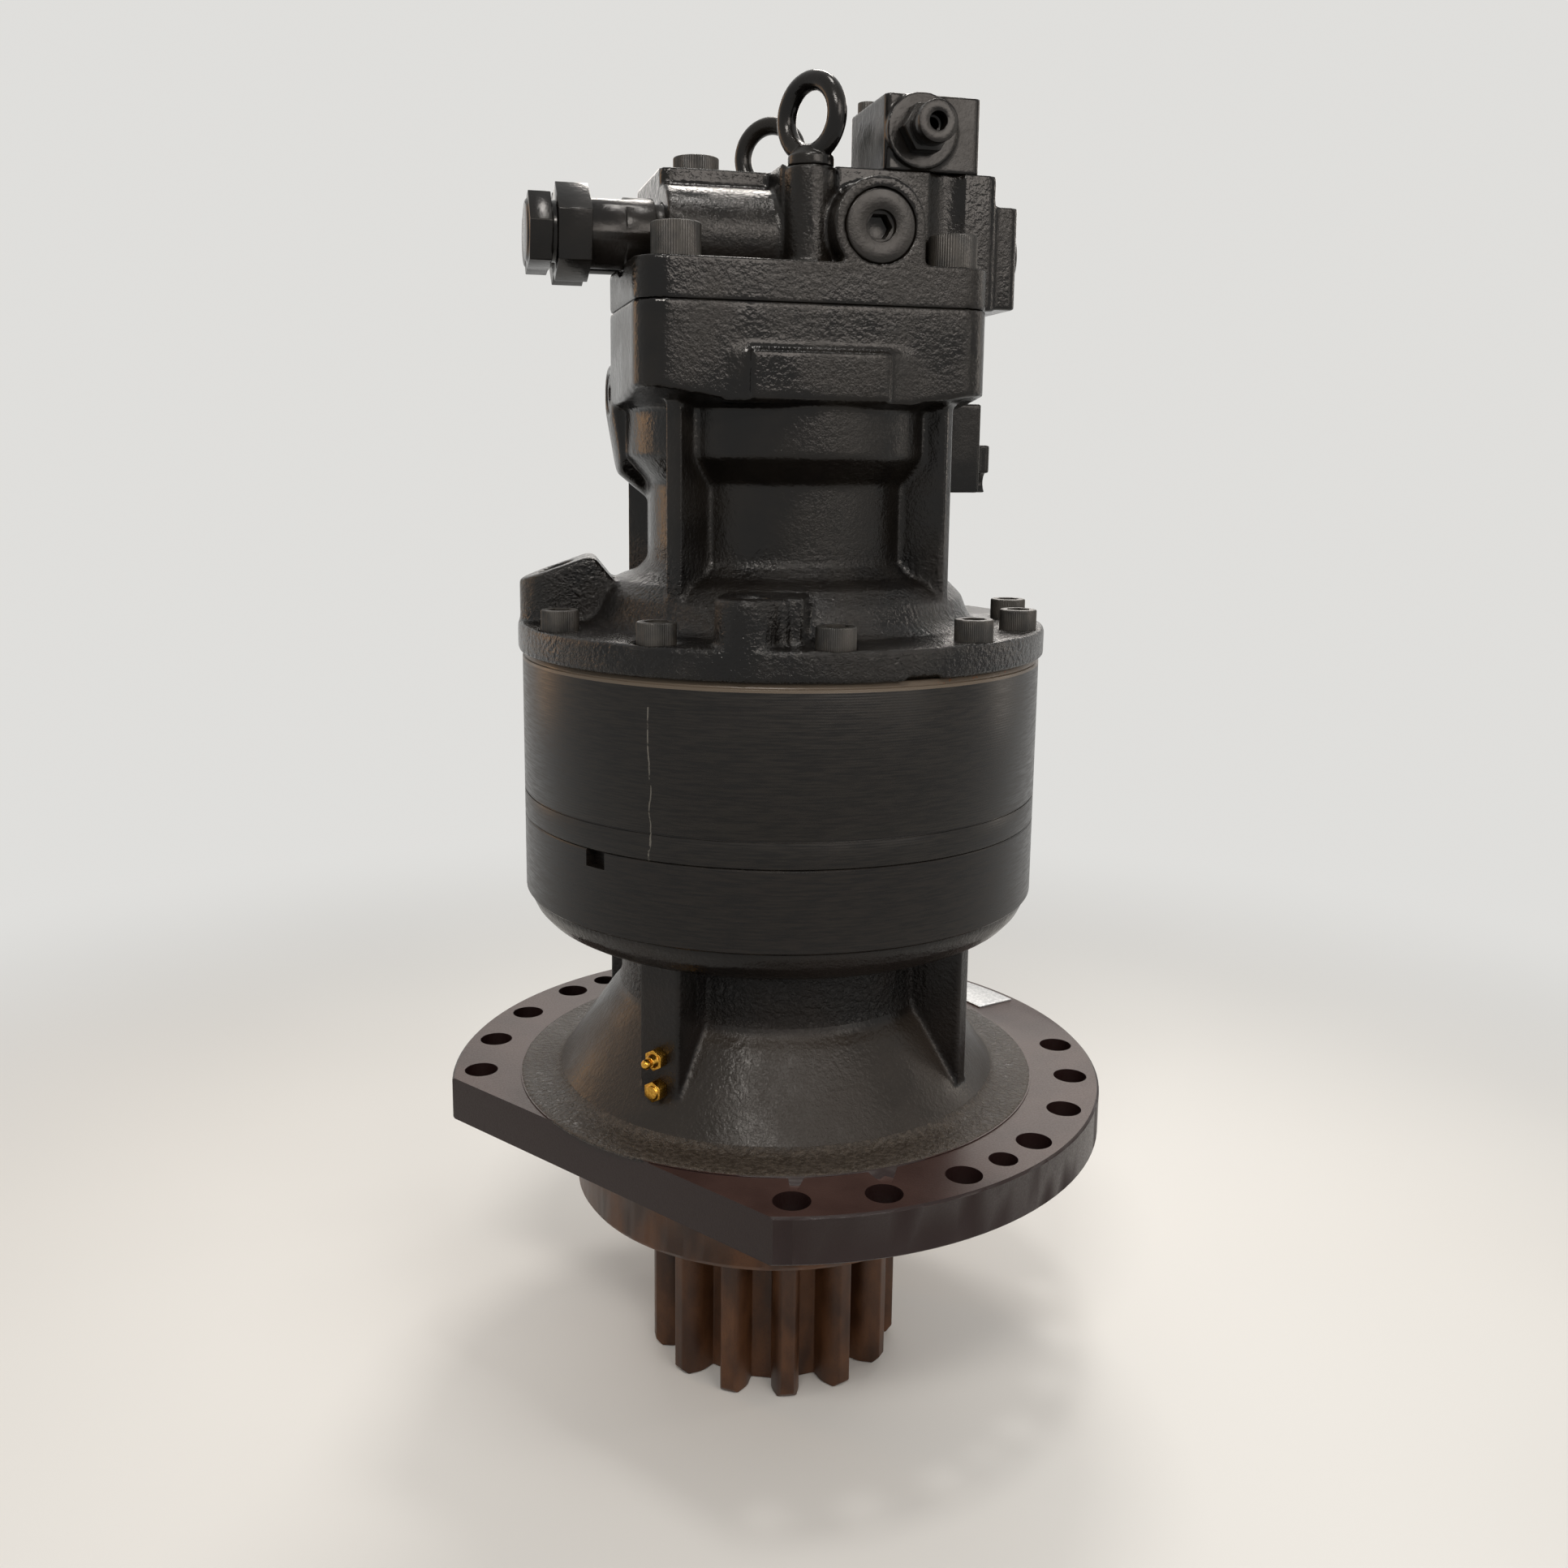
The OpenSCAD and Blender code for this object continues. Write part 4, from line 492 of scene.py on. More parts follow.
def brown_preservative(name, dark, light):
    """Brown rust preventive brushed over bare steel: a thin waxy film, thicker in the corners."""
    material, tree, shader, place_of = start_material(name, 0.45, IOR=1.42)
    tall = add(tree, "ShaderNodeMapping", {"Vector": place_of, "Scale": (1, 1, 0.5)}).outputs["Vector"]
    runs = spots(tree, tall, 22, detail=4, low=0.3, high=0.7, rough=0.5)
    specks = spots(tree, place_of, 1.4, detail=3, low=0.5, high=0.8)
    base = blend_colours(tree, runs, dark, light)
    speckled = blend_colours(tree, sums(tree, "MULTIPLY", specks, 0.35), base, "#24130a")
    tree.links.new(speckled, shader.inputs["Base Color"])
    set_roughness(tree, shader, runs, 0.38, 0.52)
    set_bumps(tree, shader, [(runs, 0.05), (specks, 0.04)])
    return material


def plain_metal(name, base, shade, metallic, roughness, size):
    """Machined or plated metal with a fine, even grain."""
    material, tree, shader, place_of = start_material(name, roughness, metallic)
    grain = spots(tree, place_of, size, detail=4)
    tree.links.new(blend_colours(tree, grain, base, shade), shader.inputs["Base Color"])
    set_roughness(tree, shader, grain, roughness * 0.85, roughness * 1.2)
    set_bumps(tree, shader, [(grain, 0.01)])
    return material


def make_materials(tints):
    """All finishes of the motor, by name."""
    made = {}
    paint, haze = tints.casting, tints.casting_dust
    # Gloss black on the motor's castings; the sand's grain is coarse on the round flange and the skirt
    made["casting"], *_ = gloss_enamel("Gloss black enamel on cast iron", paint, haze, 0.15, 1.0, 0.395)
    # Machined blocks and valves under the same paint have hardly any grain
    made["valve"], *_ = gloss_enamel("Gloss black enamel on machined steel", paint, haze, 0.2, 0.1)
    # The gearbox housing has the same paint, a little flatter and browner
    made["housing"] = housing_enamel("Satin black enamel on cast iron", tints.housing, tints.housing_dust)
    made["wall"], *_ = painted_turning(
        "Satin black enamel on turned iron", tints.housing, "#1a1613",
        roughness=0.32, pitch=1.2, depth=0.006,
    )
    made["ring"] = ring_gear_finish("Thin satin black over turned steel", tints.ring_gear)
    made["screw"] = black_oxide("Black oxide on alloy steel", tints.screw)
    made["flange"] = flange_paint("Satin paint on the machined flange", tints.flange)
    made["preservative"] = brown_preservative("Brown rust preventive on steel", "#301b0e", tints.pinion)
    # Name, colour, second colour, metallic, roughness and size of the grain
    plain = {
        "brass": ("Yellow chromate on zinc plated steel", tints.brass, "#a8792c", 1.0, 0.26, 1.5),
        "aluminium": ("Bare aluminium sheet", "#b9bbbc", "#a6a9ab", 0.8, 0.45, 2.0),
        "steel": ("Ground gear steel", "#a9acae", "#8d9193", 1.0, 0.28, 3.0),
        "bronze": ("Machined bronze", "#b48a50", "#95703d", 1.0, 0.3, 3.0),
        "rubber": ("Nitrile rubber", "#141414", "#1c1c1c", 0.0, 0.6, 3.0),
        "friction": ("Sintered friction lining", "#6b5a3e", "#574a34", 0.0, 0.8, 1.0),
        "spring": ("Oiled spring steel", "#3d4043", "#2b2d2f", 1.0, 0.35, 3.0),
    }
    made.update({key: plain_metal(*values) for key, values in plain.items()})
    return made


def ring_gear_finish(name, base):
    """The ring gear's thin paint, with a scratch down its front left, chips and a paler band at the top."""
    material, tree, shader, place_of = painted_turning(
        name, base, "#1b1815", roughness=0.33, pitch=1.6, depth=0.012
    )
    scratch_x, scratch_half_width, scratch_top = -0.0745, 0.0004, 0.312
    chips_left, chips_bottom = 0.09, 0.3262
    pale_band_bottom = 0.3238
    x, y, z = (axis_value(tree, place_of, axis) for axis in "XYZ")
    wander = sums(tree, "MULTIPLY", spots(tree, place_of, 40, detail=3), 0.003)
    offset = sums(tree, "ADD", sums(tree, "SUBTRACT", x, scratch_x), wander)
    away = add(tree, "ShaderNodeMath", {0: offset}, operation="ABSOLUTE").outputs[0]
    thin = sums(tree, "LESS_THAN", away, scratch_half_width)
    front = sums(tree, "LESS_THAN", y, 0.0)
    below = sums(tree, "LESS_THAN", z, scratch_top)
    gaps = spots(tree, place_of, 9, detail=3, low=0.4, high=0.5)
    line = sums(tree, "MULTIPLY", sums(tree, "MULTIPLY", thin, front), sums(tree, "MULTIPLY", below, gaps))
    chips = spots(tree, place_of, 3.0, detail=5, low=0.6, high=0.66, rough=0.7)
    at_edge = sums(tree, "GREATER_THAN", z, chips_bottom)
    on_right = sums(tree, "MULTIPLY", sums(tree, "GREATER_THAN", x, chips_left), front)
    rust = sums(tree, "MULTIPLY", chips, sums(tree, "MULTIPLY", at_edge, on_right))
    paint = shader.inputs["Base Color"].links[0].from_socket
    # The top of the ring, its chamfer and a little below it, is paler
    pale_top_band = sums(tree, "MULTIPLY", sums(tree, "GREATER_THAN", z, pale_band_bottom), 0.9)
    banded = blend_colours(tree, pale_top_band, paint, "#5a5045")
    worn = blend_colours(tree, sums(tree, "MULTIPLY", line, 0.6), banded, "#6d6a63")
    tree.links.new(blend_colours(tree, rust, worn, "#7a3f1d"), shader.inputs["Base Color"])
    return material


def seen_rays(tree):
    """1 where the backdrop is looked at, directly or in a reflection, and 0 where it lights a surface."""
    ray = add(tree, "ShaderNodeLightPath")
    seen = sums(tree, "MAXIMUM", ray.outputs["Is Camera Ray"], ray.outputs["Is Glossy Ray"])
    return sums(tree, "MAXIMUM", seen, ray.outputs["Is Transmission Ray"])


MATERIALS = {}


def finish_of(name):
    """A finish by its name; the finishes are made on first use."""
    if not MATERIALS:
        MATERIALS.update(make_materials(bpy.context.scene.swing_motor_tints))
    return MATERIALS[name]


# Sizes and colours that a user may change


class SwingMotorSizes(bpy.types.PropertyGroup):
    """Sizes of the looks; the motor's real sizes are in its CAD model."""

    casting_step: bpy.props.FloatProperty(
        name="Casting mesh step", description="Mesh spacing of the large castings, in millimetres",
        default=1.9, min=1.2, max=4.0,
    )
    casting_rounding: bpy.props.IntProperty(
        name="Casting rounding", description="Smoothing steps that round the edges and fillets of castings",
        default=4, min=1, max=20,
    )
    skin_wave: bpy.props.FloatProperty(
        name="Skin wave", description="Height of the uneven casting skin, in millimetres",
        default=0.16, min=0, max=1,
    )
    edge_break: bpy.props.FloatProperty(
        name="Edge break", description="Width of the bevel on machined edges, in millimetres",
        default=0.5, min=0.1, max=1,
    )
    knurls: bpy.props.IntProperty(
        name="Knurls", description="Teeth of the knurl round a large screw head",
        default=60, min=24, max=90,
    )
    floor_radius: bpy.props.FloatProperty(
        name="Floor radius", description="Radius of the studio floor", default=9.0, min=2, unit="LENGTH",
    )


def tint(name, description, default):
    """A colour that a user may change."""
    return bpy.props.StringProperty(name=name, description=description, default=default)


class SwingMotorTints(bpy.types.PropertyGroup):
    """Colours as sRGB hex values."""

    casting: tint("Castings", "Paint of the motor's castings", "#0a0909")
    casting_dust: tint("Casting haze", "Haze on that paint", "#15120f")
    housing: tint("Housing", "Paint of the gearbox housing", "#0d0b0a")
    housing_dust: tint("Housing haze", "Haze on that paint", "#181310")
    ring_gear: tint("Ring gear", "Finish of the ring gear", "#0e0c0b")
    flange: tint("Flange", "Finish of the machined flange", "#1f1211")
    pinion: tint("Pinion", "Rust preventive on the pinion", "#573720")
    screw: tint("Screws", "Finish of the screws", "#1b1a18")
    brass: tint("Grease fittings", "Plating of the fittings", "#cf9f45")
    floor: tint("Floor", "Colour of the studio floor", "#eaeae8")


# Operators, one for each group of pieces


class SWINGMOTOR_OT_output_housing(bpy.types.Operator):
    """Machined flange and spigot, ribbed cone with its neck, and the turned wall above the bowl"""

    bl_idname = "swing_motor.output_housing"
    bl_label = "Output housing"

    # Radius and height from the flange up
    CAST_PROFILE = (
        # Foot
        (178, 27), (181, 27.5), (181.4, 30.6), (180.6, 31.3), (160, 31.5), (154.5, 33.5), (151, 38.5),
        # Cone and neck
        (119, 84.5), (113, 91.5), (110, 100), (109.5, 128), (112.5, 137),
        # Underside and bowl
        (121, 141.8), (148, 143.4), (155, 145), (162, 149), (168.5, 156), (172, 163.5), (172.8, 170),
        (150, 170),
    )
    # The wall above is turned, and stands a little proud of the casting
    WALL_PROFILE = (
        (150, 166.7), (173.6, 166.7), (174.9, 168), (175, 169), (175, 217.9), (174.2, 218.7), (150, 218.7),
    )
    # Direction in degrees, reach and thickness; the last and widest one carries the grease fittings
    RIBS = ((328, 146, 13.5), (58, 146, 13.5), (148, 146, 13.5), (238, 140, 30))
    RIB_START = 97
    RIB_BOTTOM = 30
    RIB_TOP = 143
    # Lowest and highest corner of the notch at the joint, before it is turned to its direction
    NOTCH = ((167, -8, 208), (180, 8, 220))
    NOTCH_DIRECTION = 230.2
    CAST_STEP = 1.7
    # The casting starts inside the flange's copy, which ends a little higher
    CASTING_BOTTOM = 29.0
    FLANGE_TOP = 30.7
    # Faces of the flange's copy below this height, or inside this radius at its lower face, are bare
    BARE_BELOW = -0.6
    BARE_INSIDE = 160

    def execute(self, context):
        sizes = context.scene.swing_motor_sizes
        casting = turned_solid("housing_casting", self.CAST_PROFILE)
        join(casting, [self.rib(*values) for values in self.RIBS])
        cast_surface(casting, self.CAST_STEP, 3, sizes.skin_wave * 0.8, 7)
        cut_at(casting, self.CASTING_BOTTOM)
        only(casting)
        bpy.ops.object.shade_smooth()
        dress(casting, "root", "housing_paint", finish_of("housing"))
        wall = turned_solid("housing_wall", self.WALL_PROFILE)
        notch = square_block(*self.NOTCH, math.radians(self.NOTCH_DIRECTION))
        shape(wall, "BOOLEAN", object=notch, operation="DIFFERENCE", solver="EXACT")
        bpy.data.objects.remove(notch)
        dress(smooth(wall, 30), "root", "housing_paint", finish_of("wall"))
        self.flange()
        return {"FINISHED"}

    def rib(self, direction, reach, thickness):
        """A rib from inside the neck out to its reach, between the foot and the underside of the bowl."""
        side = thickness / 2
        low, high = (self.RIB_START, -side, self.RIB_BOTTOM), (reach, side, self.RIB_TOP)
        return square_block(low, high, math.radians(direction))

    def flange(self):
        """The flange, machined all over, and the spigot, which is left bare under rust preventive."""
        flange = merged_copy("output_housing", "housing_flange")
        cut_at(flange, self.FLANGE_TOP, keep_above=False)
        # Its flat faces are joined, so that they shade evenly
        bpy.ops.object.mode_set(mode="EDIT")
        bpy.ops.mesh.select_all(action="SELECT")
        bpy.ops.mesh.dissolve_limited(angle_limit=math.radians(0.1))
        smooth(done(flange), 20)
        dress(flange, "root", "housing_paint", finish_of("flange"), "output_housing")
        flange.data.materials.append(finish_of("preservative"))
        for face in flange.data.polygons:
            centre = face.center / MM
            inside = centre.z < 0.4 and centre.xy.length < self.BARE_INSIDE
            if centre.z < self.BARE_BELOW or inside:
                face.material_index = 1


class SWINGMOTOR_OT_motor_casing(bpy.types.Operator):
    """Motor casing: round flange, skirt, barrel with four ribs and square flange"""

    bl_idname = "swing_motor.motor_casing"
    bl_label = "Motor casing"

    # Radius, bottom and top of the cylinders that fill the casing's bore
    FILLERS = ((60, 330, 546.8), (78, 388, 546.8), (90, 470, 546.8), (96.5, 510, 546.8))
    # The pad cast on the front of the square flange, with its crisp upper edge
    PAD = ((-48, -110.8, 491), (38, -100, 519.5))
    # The front lug's direction, and the shoulder and the corner that it runs into on its right
    LUG_DIRECTION = 262.8
    SHOULDER = ((130, 13, 330), (155.5, 31.5, 376))
    CORNER = ((144, 13, 330), (160, 24, 376))

    def execute(self, context):
        sizes = context.scene.swing_motor_sizes
        casing = merged_copy("motor_casing", "motor_casing_casting")
        fill_inside(casing, self.FILLERS)
        turn = math.radians(self.LUG_DIRECTION)
        beside_lug = [square_block(*box, turn) for box in (self.SHOULDER, self.CORNER)]
        join(casing, [square_block(*self.PAD, MOTOR_YAW), *beside_lug])
        cast_surface(casing, sizes.casting_step, sizes.casting_rounding, sizes.skin_wave, 9, MOTOR_YAW)
        dress(casing, "root", "cast_iron_paint", finish_of("casting"), "motor_casing")
        return {"FINISHED"}


class SWINGMOTOR_OT_valve_cover(bpy.types.Operator):
    """Valve cover with its blocks and bosses"""

    bl_idname = "swing_motor.valve_cover"
    bl_label = "Valve cover"

    FILLERS = ((34, 548, 572),)
    STEP = 1.5

    def execute(self, context):
        sizes = context.scene.swing_motor_sizes
        cover = merged_copy("valve_cover", "valve_cover_casting")
        fill_inside(cover, self.FILLERS)
        cast_surface(cover, self.STEP, sizes.casting_rounding, sizes.skin_wave, 9, MOTOR_YAW)
        dress(cover, "root", "cast_iron_paint", finish_of("casting"), "valve_cover")
        return {"FINISHED"}


class SWINGMOTOR_OT_valve_blocks(bpy.types.Operator):
    """Blocks of the reversal valve and of the brake release valve"""

    bl_idname = "swing_motor.valve_blocks"
    bl_label = "Valve blocks"

    # The brake valve's wall between the seats of its screws and its front face
    FRONT_WALL = ((114, 2.2, 434.5), (142.5, 4.6, 494.5))
    STEP = 0.9

    def execute(self, context):
        for node in ("reversal_valve", "brake_valve"):
            block = merged_copy(node, node + "_block")
            if node == "brake_valve":
                join(block, [square_block(*self.FRONT_WALL, MOTOR_YAW)])
            cast_surface(block, self.STEP, 4, 0.1, 6, MOTOR_YAW)
            dress(block, "root", "valve_paint", finish_of("valve"), node)
        return {"FINISHED"}


class SWINGMOTOR_OT_ring_gear(bpy.types.Operator):
    """Ring gear with its turned outside and the fine groove"""

    bl_idname = "swing_motor.ring_gear"
    bl_label = "Ring gear"

    def execute(self, context):
        ring = crisp_copy("ring_gear", "ring_gear_turned", 0.25, 2, 30)
        dress(ring, "root", "ring_gear_steel", finish_of("ring"), "ring_gear")
        return {"FINISHED"}


class SWINGMOTOR_OT_pinion(bpy.types.Operator):
    """Output pinion with broken tooth edges"""

    bl_idname = "swing_motor.pinion"
    bl_label = "Pinion"

    def execute(self, context):
        pinion = crisp_copy("pinion_shaft", "pinion_toothed", 0.8, 3, 38)
        dress(pinion, body_of("pinion_shaft"), "pinion_steel", finish_of("preservative"), "pinion_shaft")
        return {"FINISHED"}


def knurled_head(radius, height, socket, knurls):
    """A cap screw's head: knurled round, rounded at the top, with a hexagon socket."""
    valley_share, rounding, socket_bottom = 0.978, 0.09 * radius, 0.55 * height
    head = round_block(radius, 0, height, 2 * knurls)
    step = math.pi / knurls

    def is_valley(p):
        around = round((math.atan2(p.y, p.x) % (2 * math.pi)) / step)
        return around % 2 == 1 and p.xy.length > radius * 0.9 * MM

    select_points(head, is_valley)
    bpy.ops.transform.resize(value=(valley_share, valley_share, 1), center_override=(0, 0, 0))
    done(head)
    top = height * MM
    select_edges(head, lambda a, b: min(a.z, b.z) > top - 1e-5)
    bpy.ops.mesh.bevel(offset=rounding * MM, segments=3, affect="EDGES")
    done(head)
    cutter = round_block(socket / math.sqrt(3), socket_bottom, socket_bottom + height, 6)
    shape(head, "BOOLEAN", object=cutter, operation="DIFFERENCE", solver="EXACT")
    bpy.data.objects.remove(cutter)
    return smooth(head, 28)


class SWINGMOTOR_OT_screws(bpy.types.Operator):
    """Cap screws of the casing, the cover and the two valve blocks"""

    bl_idname = "swing_motor.screws"
    bl_label = "Cap screws"

    # Radius, height and socket of the heads
    M16 = (12, 16, 14)
    M20 = (15, 20, 17)
    M8 = (6.5, 8, 6)
    SMALL_KNURLS = 30
    # The casing screws' circle, the height of their seats and their uneven directions in degrees
    CASING_CIRCLE = 161.75
    CASING_SEATS = 345
    CASING_DIRECTIONS = (210.6, 243.1, 281.4, 316.8, 343.3, 9.8, 45, 77, 109, 141, 172)

    def execute(self, context):
        knurls = context.scene.swing_motor_sizes.knurls
        self.group("casing_screw_heads", "casing_screws", (*self.M16, knurls), self.casing_places())
        cover = [(-89, -88, 572), (84, -88, 572), (84, 88, 572), (-51.75, 93, 572)]
        places = [Matrix.Translation(motor_point(*p)) for p in cover]
        # One more stands on top of the cover, with a lower head
        places.append(Matrix.Translation(motor_point(-56, 20, 631.5)) @ Matrix.Scale(0.9, 4, (0, 0, 1)))
        self.group("cover_screw_heads", "cover_screws", (*self.M20, knurls), places)
        # The two front screws of the reversal valve are sunk in its block
        small = [(52, -66, 668), (96, -66, 668), (52, -9, 676.5), (96, -9, 676.5)]
        places = [Matrix.Translation(motor_point(*p)) for p in small]
        self.group("reversal_screw_heads", "reversal_screws", (*self.M8, self.SMALL_KNURLS), places)
        side = [(134.5, y, z) for y in (10, 38) for z in (441, 488)]
        turn = Matrix.Rotation(MOTOR_YAW, 4, "Z") @ Matrix.Rotation(math.radians(90), 4, "Y")
        places = [Matrix.Translation(motor_point(*p)) @ turn for p in side]
        self.group("brake_valve_screw_heads", "brake_valve_screws", (*self.M8, self.SMALL_KNURLS), places)
        return {"FINISHED"}

    def casing_places(self):
        """Where the casing screws' heads stand, each tightened to another angle."""
        seat = Matrix.Translation((self.CASING_CIRCLE * MM, 0, self.CASING_SEATS * MM))
        places = []
        for number, direction in enumerate(self.CASING_DIRECTIONS):
            around = Matrix.Rotation(math.radians(direction), 4, "Z")
            places.append(around @ seat @ Matrix.Rotation(math.radians(17 * number), 4, "Z"))
        return places

    def group(self, name, node, head_size, places):
        """One head is modelled, then copied to each place; the heads of a group are one piece."""
        first = knurled_head(*head_size)
        copies = []
        for matrix in places:
            head = bpy.data.objects.new(name, first.data.copy())
            bpy.context.scene.collection.objects.link(head)
            head.data.transform(matrix)
            copies.append(head)
        bpy.data.objects.remove(first)
        piece = join(copies[0], copies[1:])
        piece.name = name
        dress(piece, "root", "screw_black", finish_of("screw"), node)


class SWINGMOTOR_OT_relief_valves(bpy.types.Operator):
    """The two relief valve cartridges and their adjusting caps"""

    bl_idname = "swing_motor.relief_valves"
    bl_label = "Relief valves"

    def execute(self, context):
        edge = context.scene.swing_motor_sizes.edge_break
        for node in ("relief_valves", "relief_caps"):
            valve = crisp_copy(node, node + "_turned", edge * 1.2, 2, 28)
            dress(valve, "root", "valve_paint", finish_of("valve"), node)
        return {"FINISHED"}


class SWINGMOTOR_OT_plugs(bpy.types.Operator):
    """Check valve plugs, drain plug, reversal plug and hose fitting"""

    bl_idname = "swing_motor.plugs"
    bl_label = "Plugs and hose fitting"

    def execute(self, context):
        edge = context.scene.swing_motor_sizes.edge_break
        for node in ("check_plugs", "drain_plug", "reversal_plug", "hose_fitting"):
            plug = crisp_copy(node, node + "_machined", edge, 2, 30)
            dress(plug, "root", "valve_paint", finish_of("valve"), node)
        return {"FINISHED"}


class SWINGMOTOR_OT_eyebolts(bpy.types.Operator):
    """Forged eyebolts: the ring flows into its collar"""

    bl_idname = "swing_motor.eyebolts"
    bl_label = "Eyebolts"

    def execute(self, context):
        eyes = merged_copy("eyebolts", "eyebolts_forged")
        cast_surface(eyes, 0.6, 6, 0.08, 5)
        dress(eyes, "root", "screw_black", finish_of("valve"), "eyebolts")
        return {"FINISHED"}


class SWINGMOTOR_OT_grease_fittings(bpy.types.Operator):
    """Grease nipple and relief plug on the wide rib"""

    bl_idname = "swing_motor.grease_fittings"
    bl_label = "Grease fittings"

    def execute(self, context):
        fittings = crisp_copy("grease_fittings", "grease_fittings_plated", 0.25, 2, 30)
        dress(fittings, "root", "brass", finish_of("brass"), "grease_fittings")
        return {"FINISHED"}


class SWINGMOTOR_OT_label_plate(bpy.types.Operator):
    """Bare plate on the flange"""

    bl_idname = "swing_motor.label_plate"
    bl_label = "Plate"

    def execute(self, context):
        plate = crisp_copy("label_plate", "plate_bare", 0.2, 2, 30)
        dress(plate, "root", "label", finish_of("aluminium"), "label_plate")
        return {"FINISHED"}


INNER_FINISHES = {
    "rubber": ("shaft_seal", "motor_seal"),
    "bronze": ("thrust_pads", "piston_shoes", "valve_plate"),
    "friction": ("friction_discs",),
    "spring": ("block_spring", "brake_springs", "spring_retainer"),
}


class SWINGMOTOR_OT_inner_parts(bpy.types.Operator):
    """Finishes of the gears, bearings, pistons and brake inside the castings"""

    bl_idname = "swing_motor.inner_parts"
    bl_label = "Inner parts"

    def execute(self, context):
        finishes = {node: name for name, nodes in INNER_FINISHES.items() for node in nodes}
        for name, node in NODES.items():
            if node.hide_render:
                continue
            node.data.materials.clear()
            node.data.materials.append(finish_of(finishes.get(name, "steel")))
        return {"FINISHED"}


class SWINGMOTOR_OT_stage(bpy.types.Operator):
    """Pale floor, soft studio light and the camera at the photograph's angle"""

    bl_idname = "swing_motor.stage"
    bl_label = "Stage"

    def execute(self, context):
        self.floor(context.scene.swing_motor_sizes.floor_radius)
        self.lamps()
        self.world()
        self.camera()
        context.scene.view_settings.view_transform = "Standard"
        return {"FINISHED"}

    def floor(self, radius):
        """A round floor just below the motor's lowest point."""
        level = (0, 0, CAD_BOX[0].z - 0.0005)
        bpy.ops.mesh.primitive_circle_add(vertices=96, radius=radius, fill_type="NGON", location=level)
        floor = place(bpy.context.object)
        floor.name = "studio_floor"
        material, tree, shader, place_of = start_material("Pale studio floor", 0.8)
        soft = spots(tree, place_of, 900, detail=2)
        pale = bpy.context.scene.swing_motor_tints.floor
        tree.links.new(blend_colours(tree, soft, pale, "#e4e4e2"), shader.inputs["Base Color"])
        # Far from the motor the floor fades into the backdrop, so no horizon shows
        far = add(tree, "ShaderNodeVectorMath", {0: place_of}, operation="LENGTH").outputs["Value"]
        fade = add(
            tree, "ShaderNodeMapRange", {"Value": far, "From Min": 0.6, "From Max": 1.5},
            interpolation_type="SMOOTHSTEP",
        ).outputs["Result"]
        glow = add(tree, "ShaderNodeEmission", {"Color": colour(BACKDROP), "Strength": BACKDROP_LEVEL})
        both = add(
            tree, "ShaderNodeMixShader",
            {0: sums(tree, "MULTIPLY", fade, seen_rays(tree)), 1: shader.outputs[0], 2: glow.outputs[0]},
        )
        tree.links.new(both.outputs[0], tree.nodes["Material Output"].inputs["Surface"])
        floor.data.materials.append(material)

    def lamps(self):
        """Soft lamps round the motor, which the camera doesn't see."""
        lamps = (
            # Name, place, aim, width, height, spread in degrees, watts and colour
            ("Top softbox", (0.15, -0.25, 2.0), (0, 0, 0.45), 0.28, 0.28, 80, 1.2, "#fffaf4"),
            ("High back softbox", (0.15, 1.25, 2.1), (0, 0, 0.5), 0.8, 0.3, 60, 2.1, "#fff8f0"),
            ("High front softbox", (-0.25, -1.7, 1.75), (0, 0, 0.45), 0.7, 0.25, 60, 2.5, "#fff8f0"),
            ("Front softbox", (0.97, -1.75, 1.24), (0, 0, 0.62), 1.0, 0.8, 100, 4.4, "#fff4ea"),
            ("Right front strip", (1.45, -1.1, 0.8), (0, 0, 0.35), 0.35, 1.1, 80, 0.45, "#fff4e8"),
            ("Right strip", (1.6, 0.45, 0.7), (0, 0, 0.35), 0.25, 1.3, 70, 0.55, "#fff0e0"),
            ("Left back strip", (-1.5, 0.75, 0.7), (0, 0, 0.35), 0.4, 1.3, 70, 0.5, "#ffb860"),
            ("Back softbox", (0.3, 1.9, 1.1), (0, 0, 0.1), 2.2, 0.5, 90, 3.2, "#fff6ee"),
        )
        for name, spot, target, width, height, spread, watts, shade in lamps:
            bpy.ops.object.light_add(type="AREA", location=spot)
            lamp = bpy.context.object
            lamp.name = name
            lamp.data.shape = "RECTANGLE"
            lamp.data.size = width
            lamp.data.size_y = height
            lamp.data.spread = math.radians(spread)
            lamp.data.energy = watts
            lamp.data.color = colour(shade)[:3]
            lamp.visible_camera = False
            lamp.rotation_mode = "QUATERNION"
            lamp.rotation_quaternion = (Vector(spot) - Vector(target)).to_track_quat("Z", "Y")

    def world(self):
        """A pale backdrop all round, which looks brighter than it lights."""
        world = bpy.data.worlds.new("Studio")
        bpy.context.scene.world = world
        world.use_nodes = True
        tree = world.node_tree
        level = add(
            tree, "ShaderNodeMapRange", {"Value": seen_rays(tree), "To Min": 0.5, "To Max": BACKDROP_LEVEL}
        )
        back = tree.nodes["Background"]
        back.inputs["Color"].default_value = colour(BACKDROP)
        tree.links.new(level.outputs["Result"], back.inputs["Strength"])

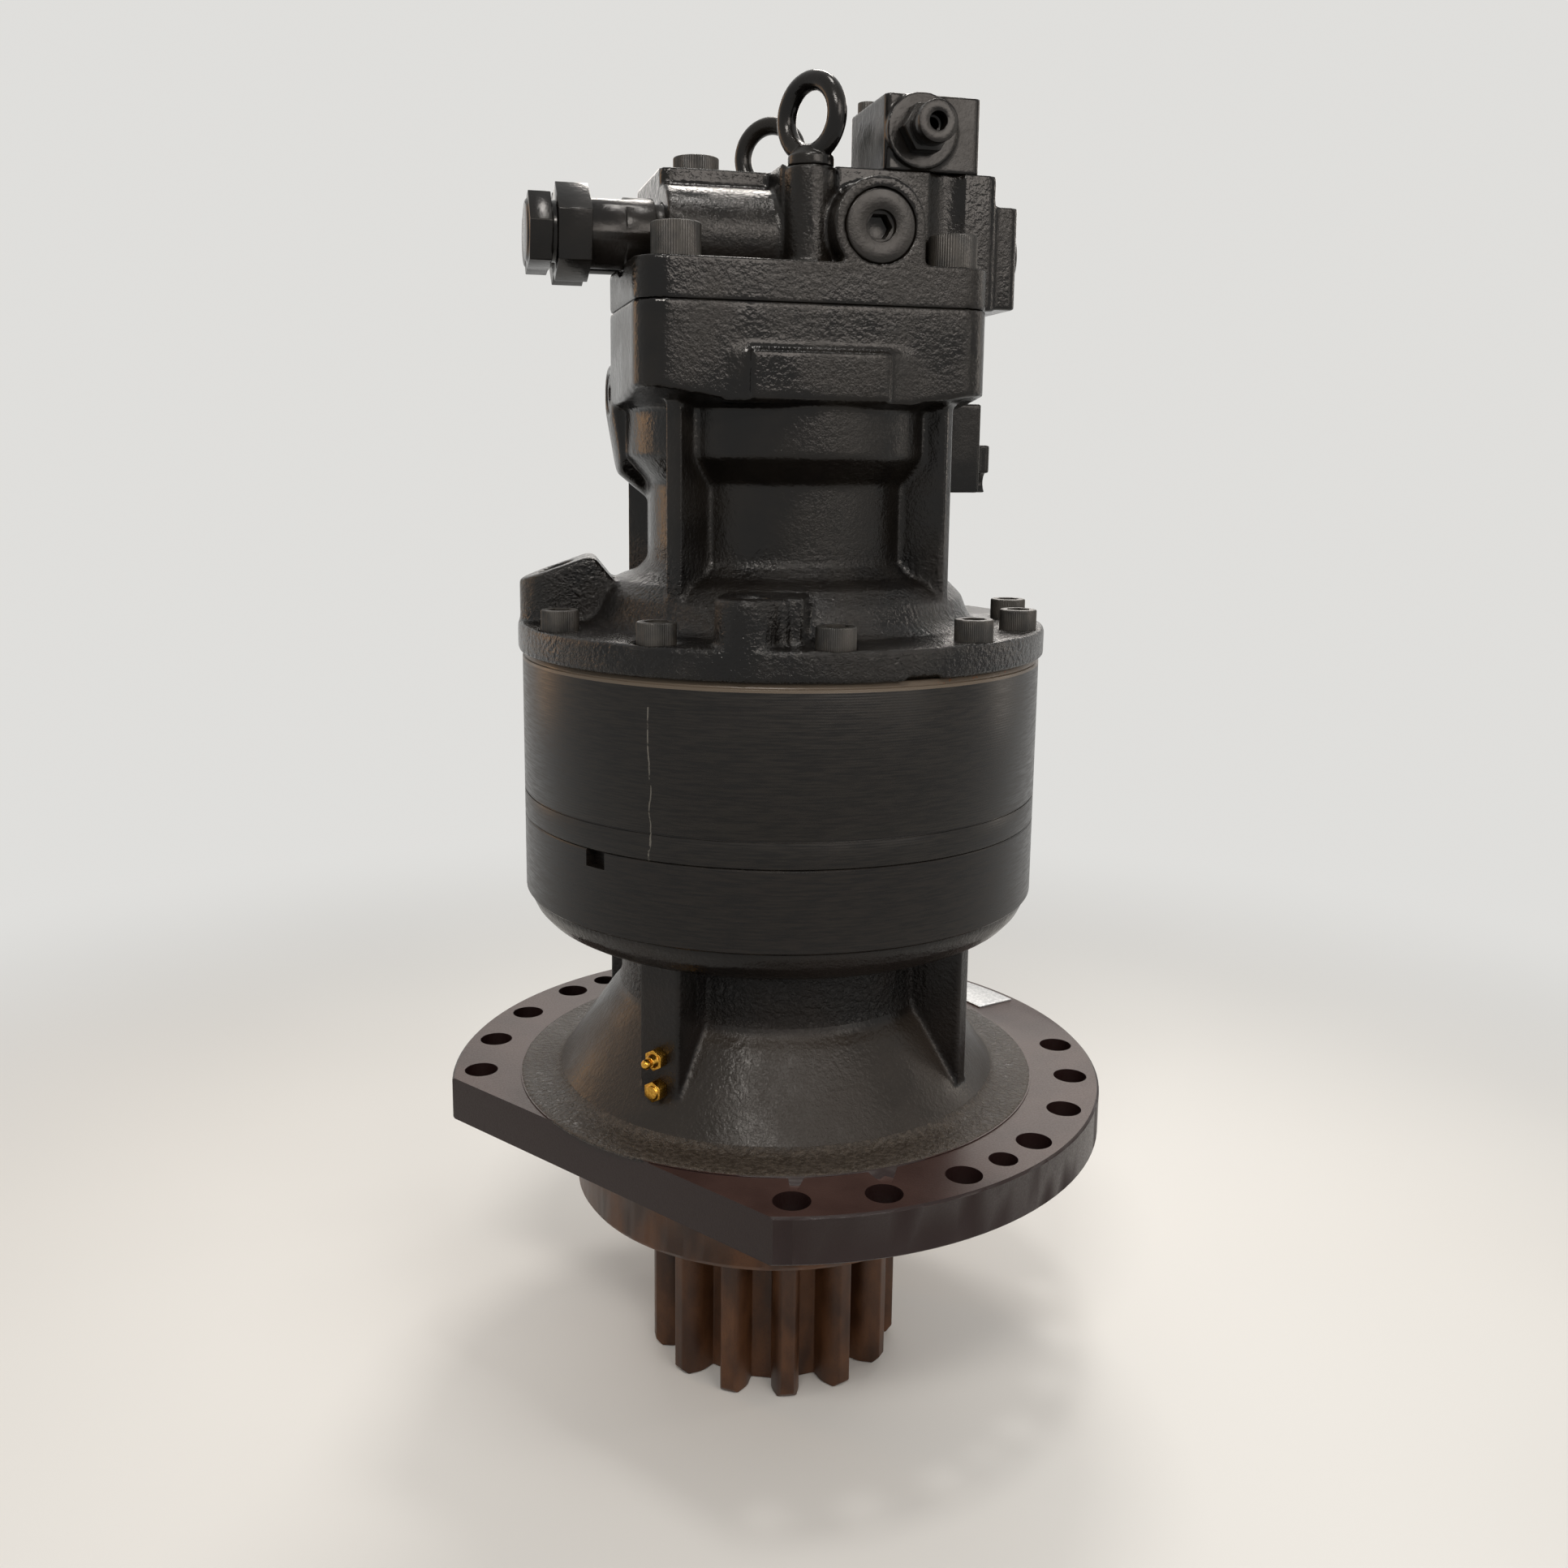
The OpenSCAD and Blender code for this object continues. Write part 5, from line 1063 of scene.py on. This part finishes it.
    def camera(self):
        """The camera that was fitted to the round edges in the photograph."""
        camera = bpy.data.cameras.new("Camera")
        obj = bpy.data.objects.new("Camera", camera)
        bpy.context.scene.collection.objects.link(obj)
        obj.location = (0, -1.003, 0.456)
        obj.rotation_mode = "QUATERNION"
        tilt = Quaternion((1, 0, 0), math.radians(90 - 9.72))
        roll = Quaternion((0, 0, 1), math.radians(0.67))
        obj.rotation_quaternion = tilt @ roll
        camera.sensor_width = 36
        camera.lens = 33.69
        camera.shift_x = 0.0026
        camera.shift_y = -0.0471
        camera.clip_start = 0.05
        camera.clip_end = 60
        bpy.context.scene.camera = obj


PIECES = (
    SWINGMOTOR_OT_output_housing,
    SWINGMOTOR_OT_motor_casing,
    SWINGMOTOR_OT_valve_cover,
    SWINGMOTOR_OT_valve_blocks,
    SWINGMOTOR_OT_ring_gear,
    SWINGMOTOR_OT_pinion,
    SWINGMOTOR_OT_screws,
    SWINGMOTOR_OT_relief_valves,
    SWINGMOTOR_OT_plugs,
    SWINGMOTOR_OT_eyebolts,
    SWINGMOTOR_OT_grease_fittings,
    SWINGMOTOR_OT_label_plate,
    SWINGMOTOR_OT_inner_parts,
    SWINGMOTOR_OT_stage,
)


class SWINGMOTOR_PT_panel(bpy.types.Panel):
    """Lists the operators, the sizes and the colours"""

    bl_idname = "SWINGMOTOR_PT_panel"
    bl_label = "Swing motor"
    bl_space_type = "VIEW_3D"
    bl_region_type = "UI"
    bl_category = "Swing motor"

    def draw(self, context):
        for group in (context.scene.swing_motor_sizes, context.scene.swing_motor_tints):
            for key in group.__annotations__:
                self.layout.prop(group, key)
        for piece in PIECES:
            self.layout.operator(piece.bl_idname)


CLASSES = (SwingMotorSizes, SwingMotorTints, *PIECES, SWINGMOTOR_PT_panel)


def register():
    for made in CLASSES:
        bpy.utils.register_class(made)
    bpy.types.Scene.swing_motor_sizes = bpy.props.PointerProperty(type=SwingMotorSizes)
    bpy.types.Scene.swing_motor_tints = bpy.props.PointerProperty(type=SwingMotorTints)


def unregister():
    del bpy.types.Scene.swing_motor_tints
    del bpy.types.Scene.swing_motor_sizes
    for made in reversed(CLASSES):
        bpy.utils.unregister_class(made)


def main():
    register()
    for piece in PIECES:
        group, name = piece.bl_idname.split(".")
        getattr(getattr(bpy.ops, group), name)()


if __name__ == "__main__":
    main()
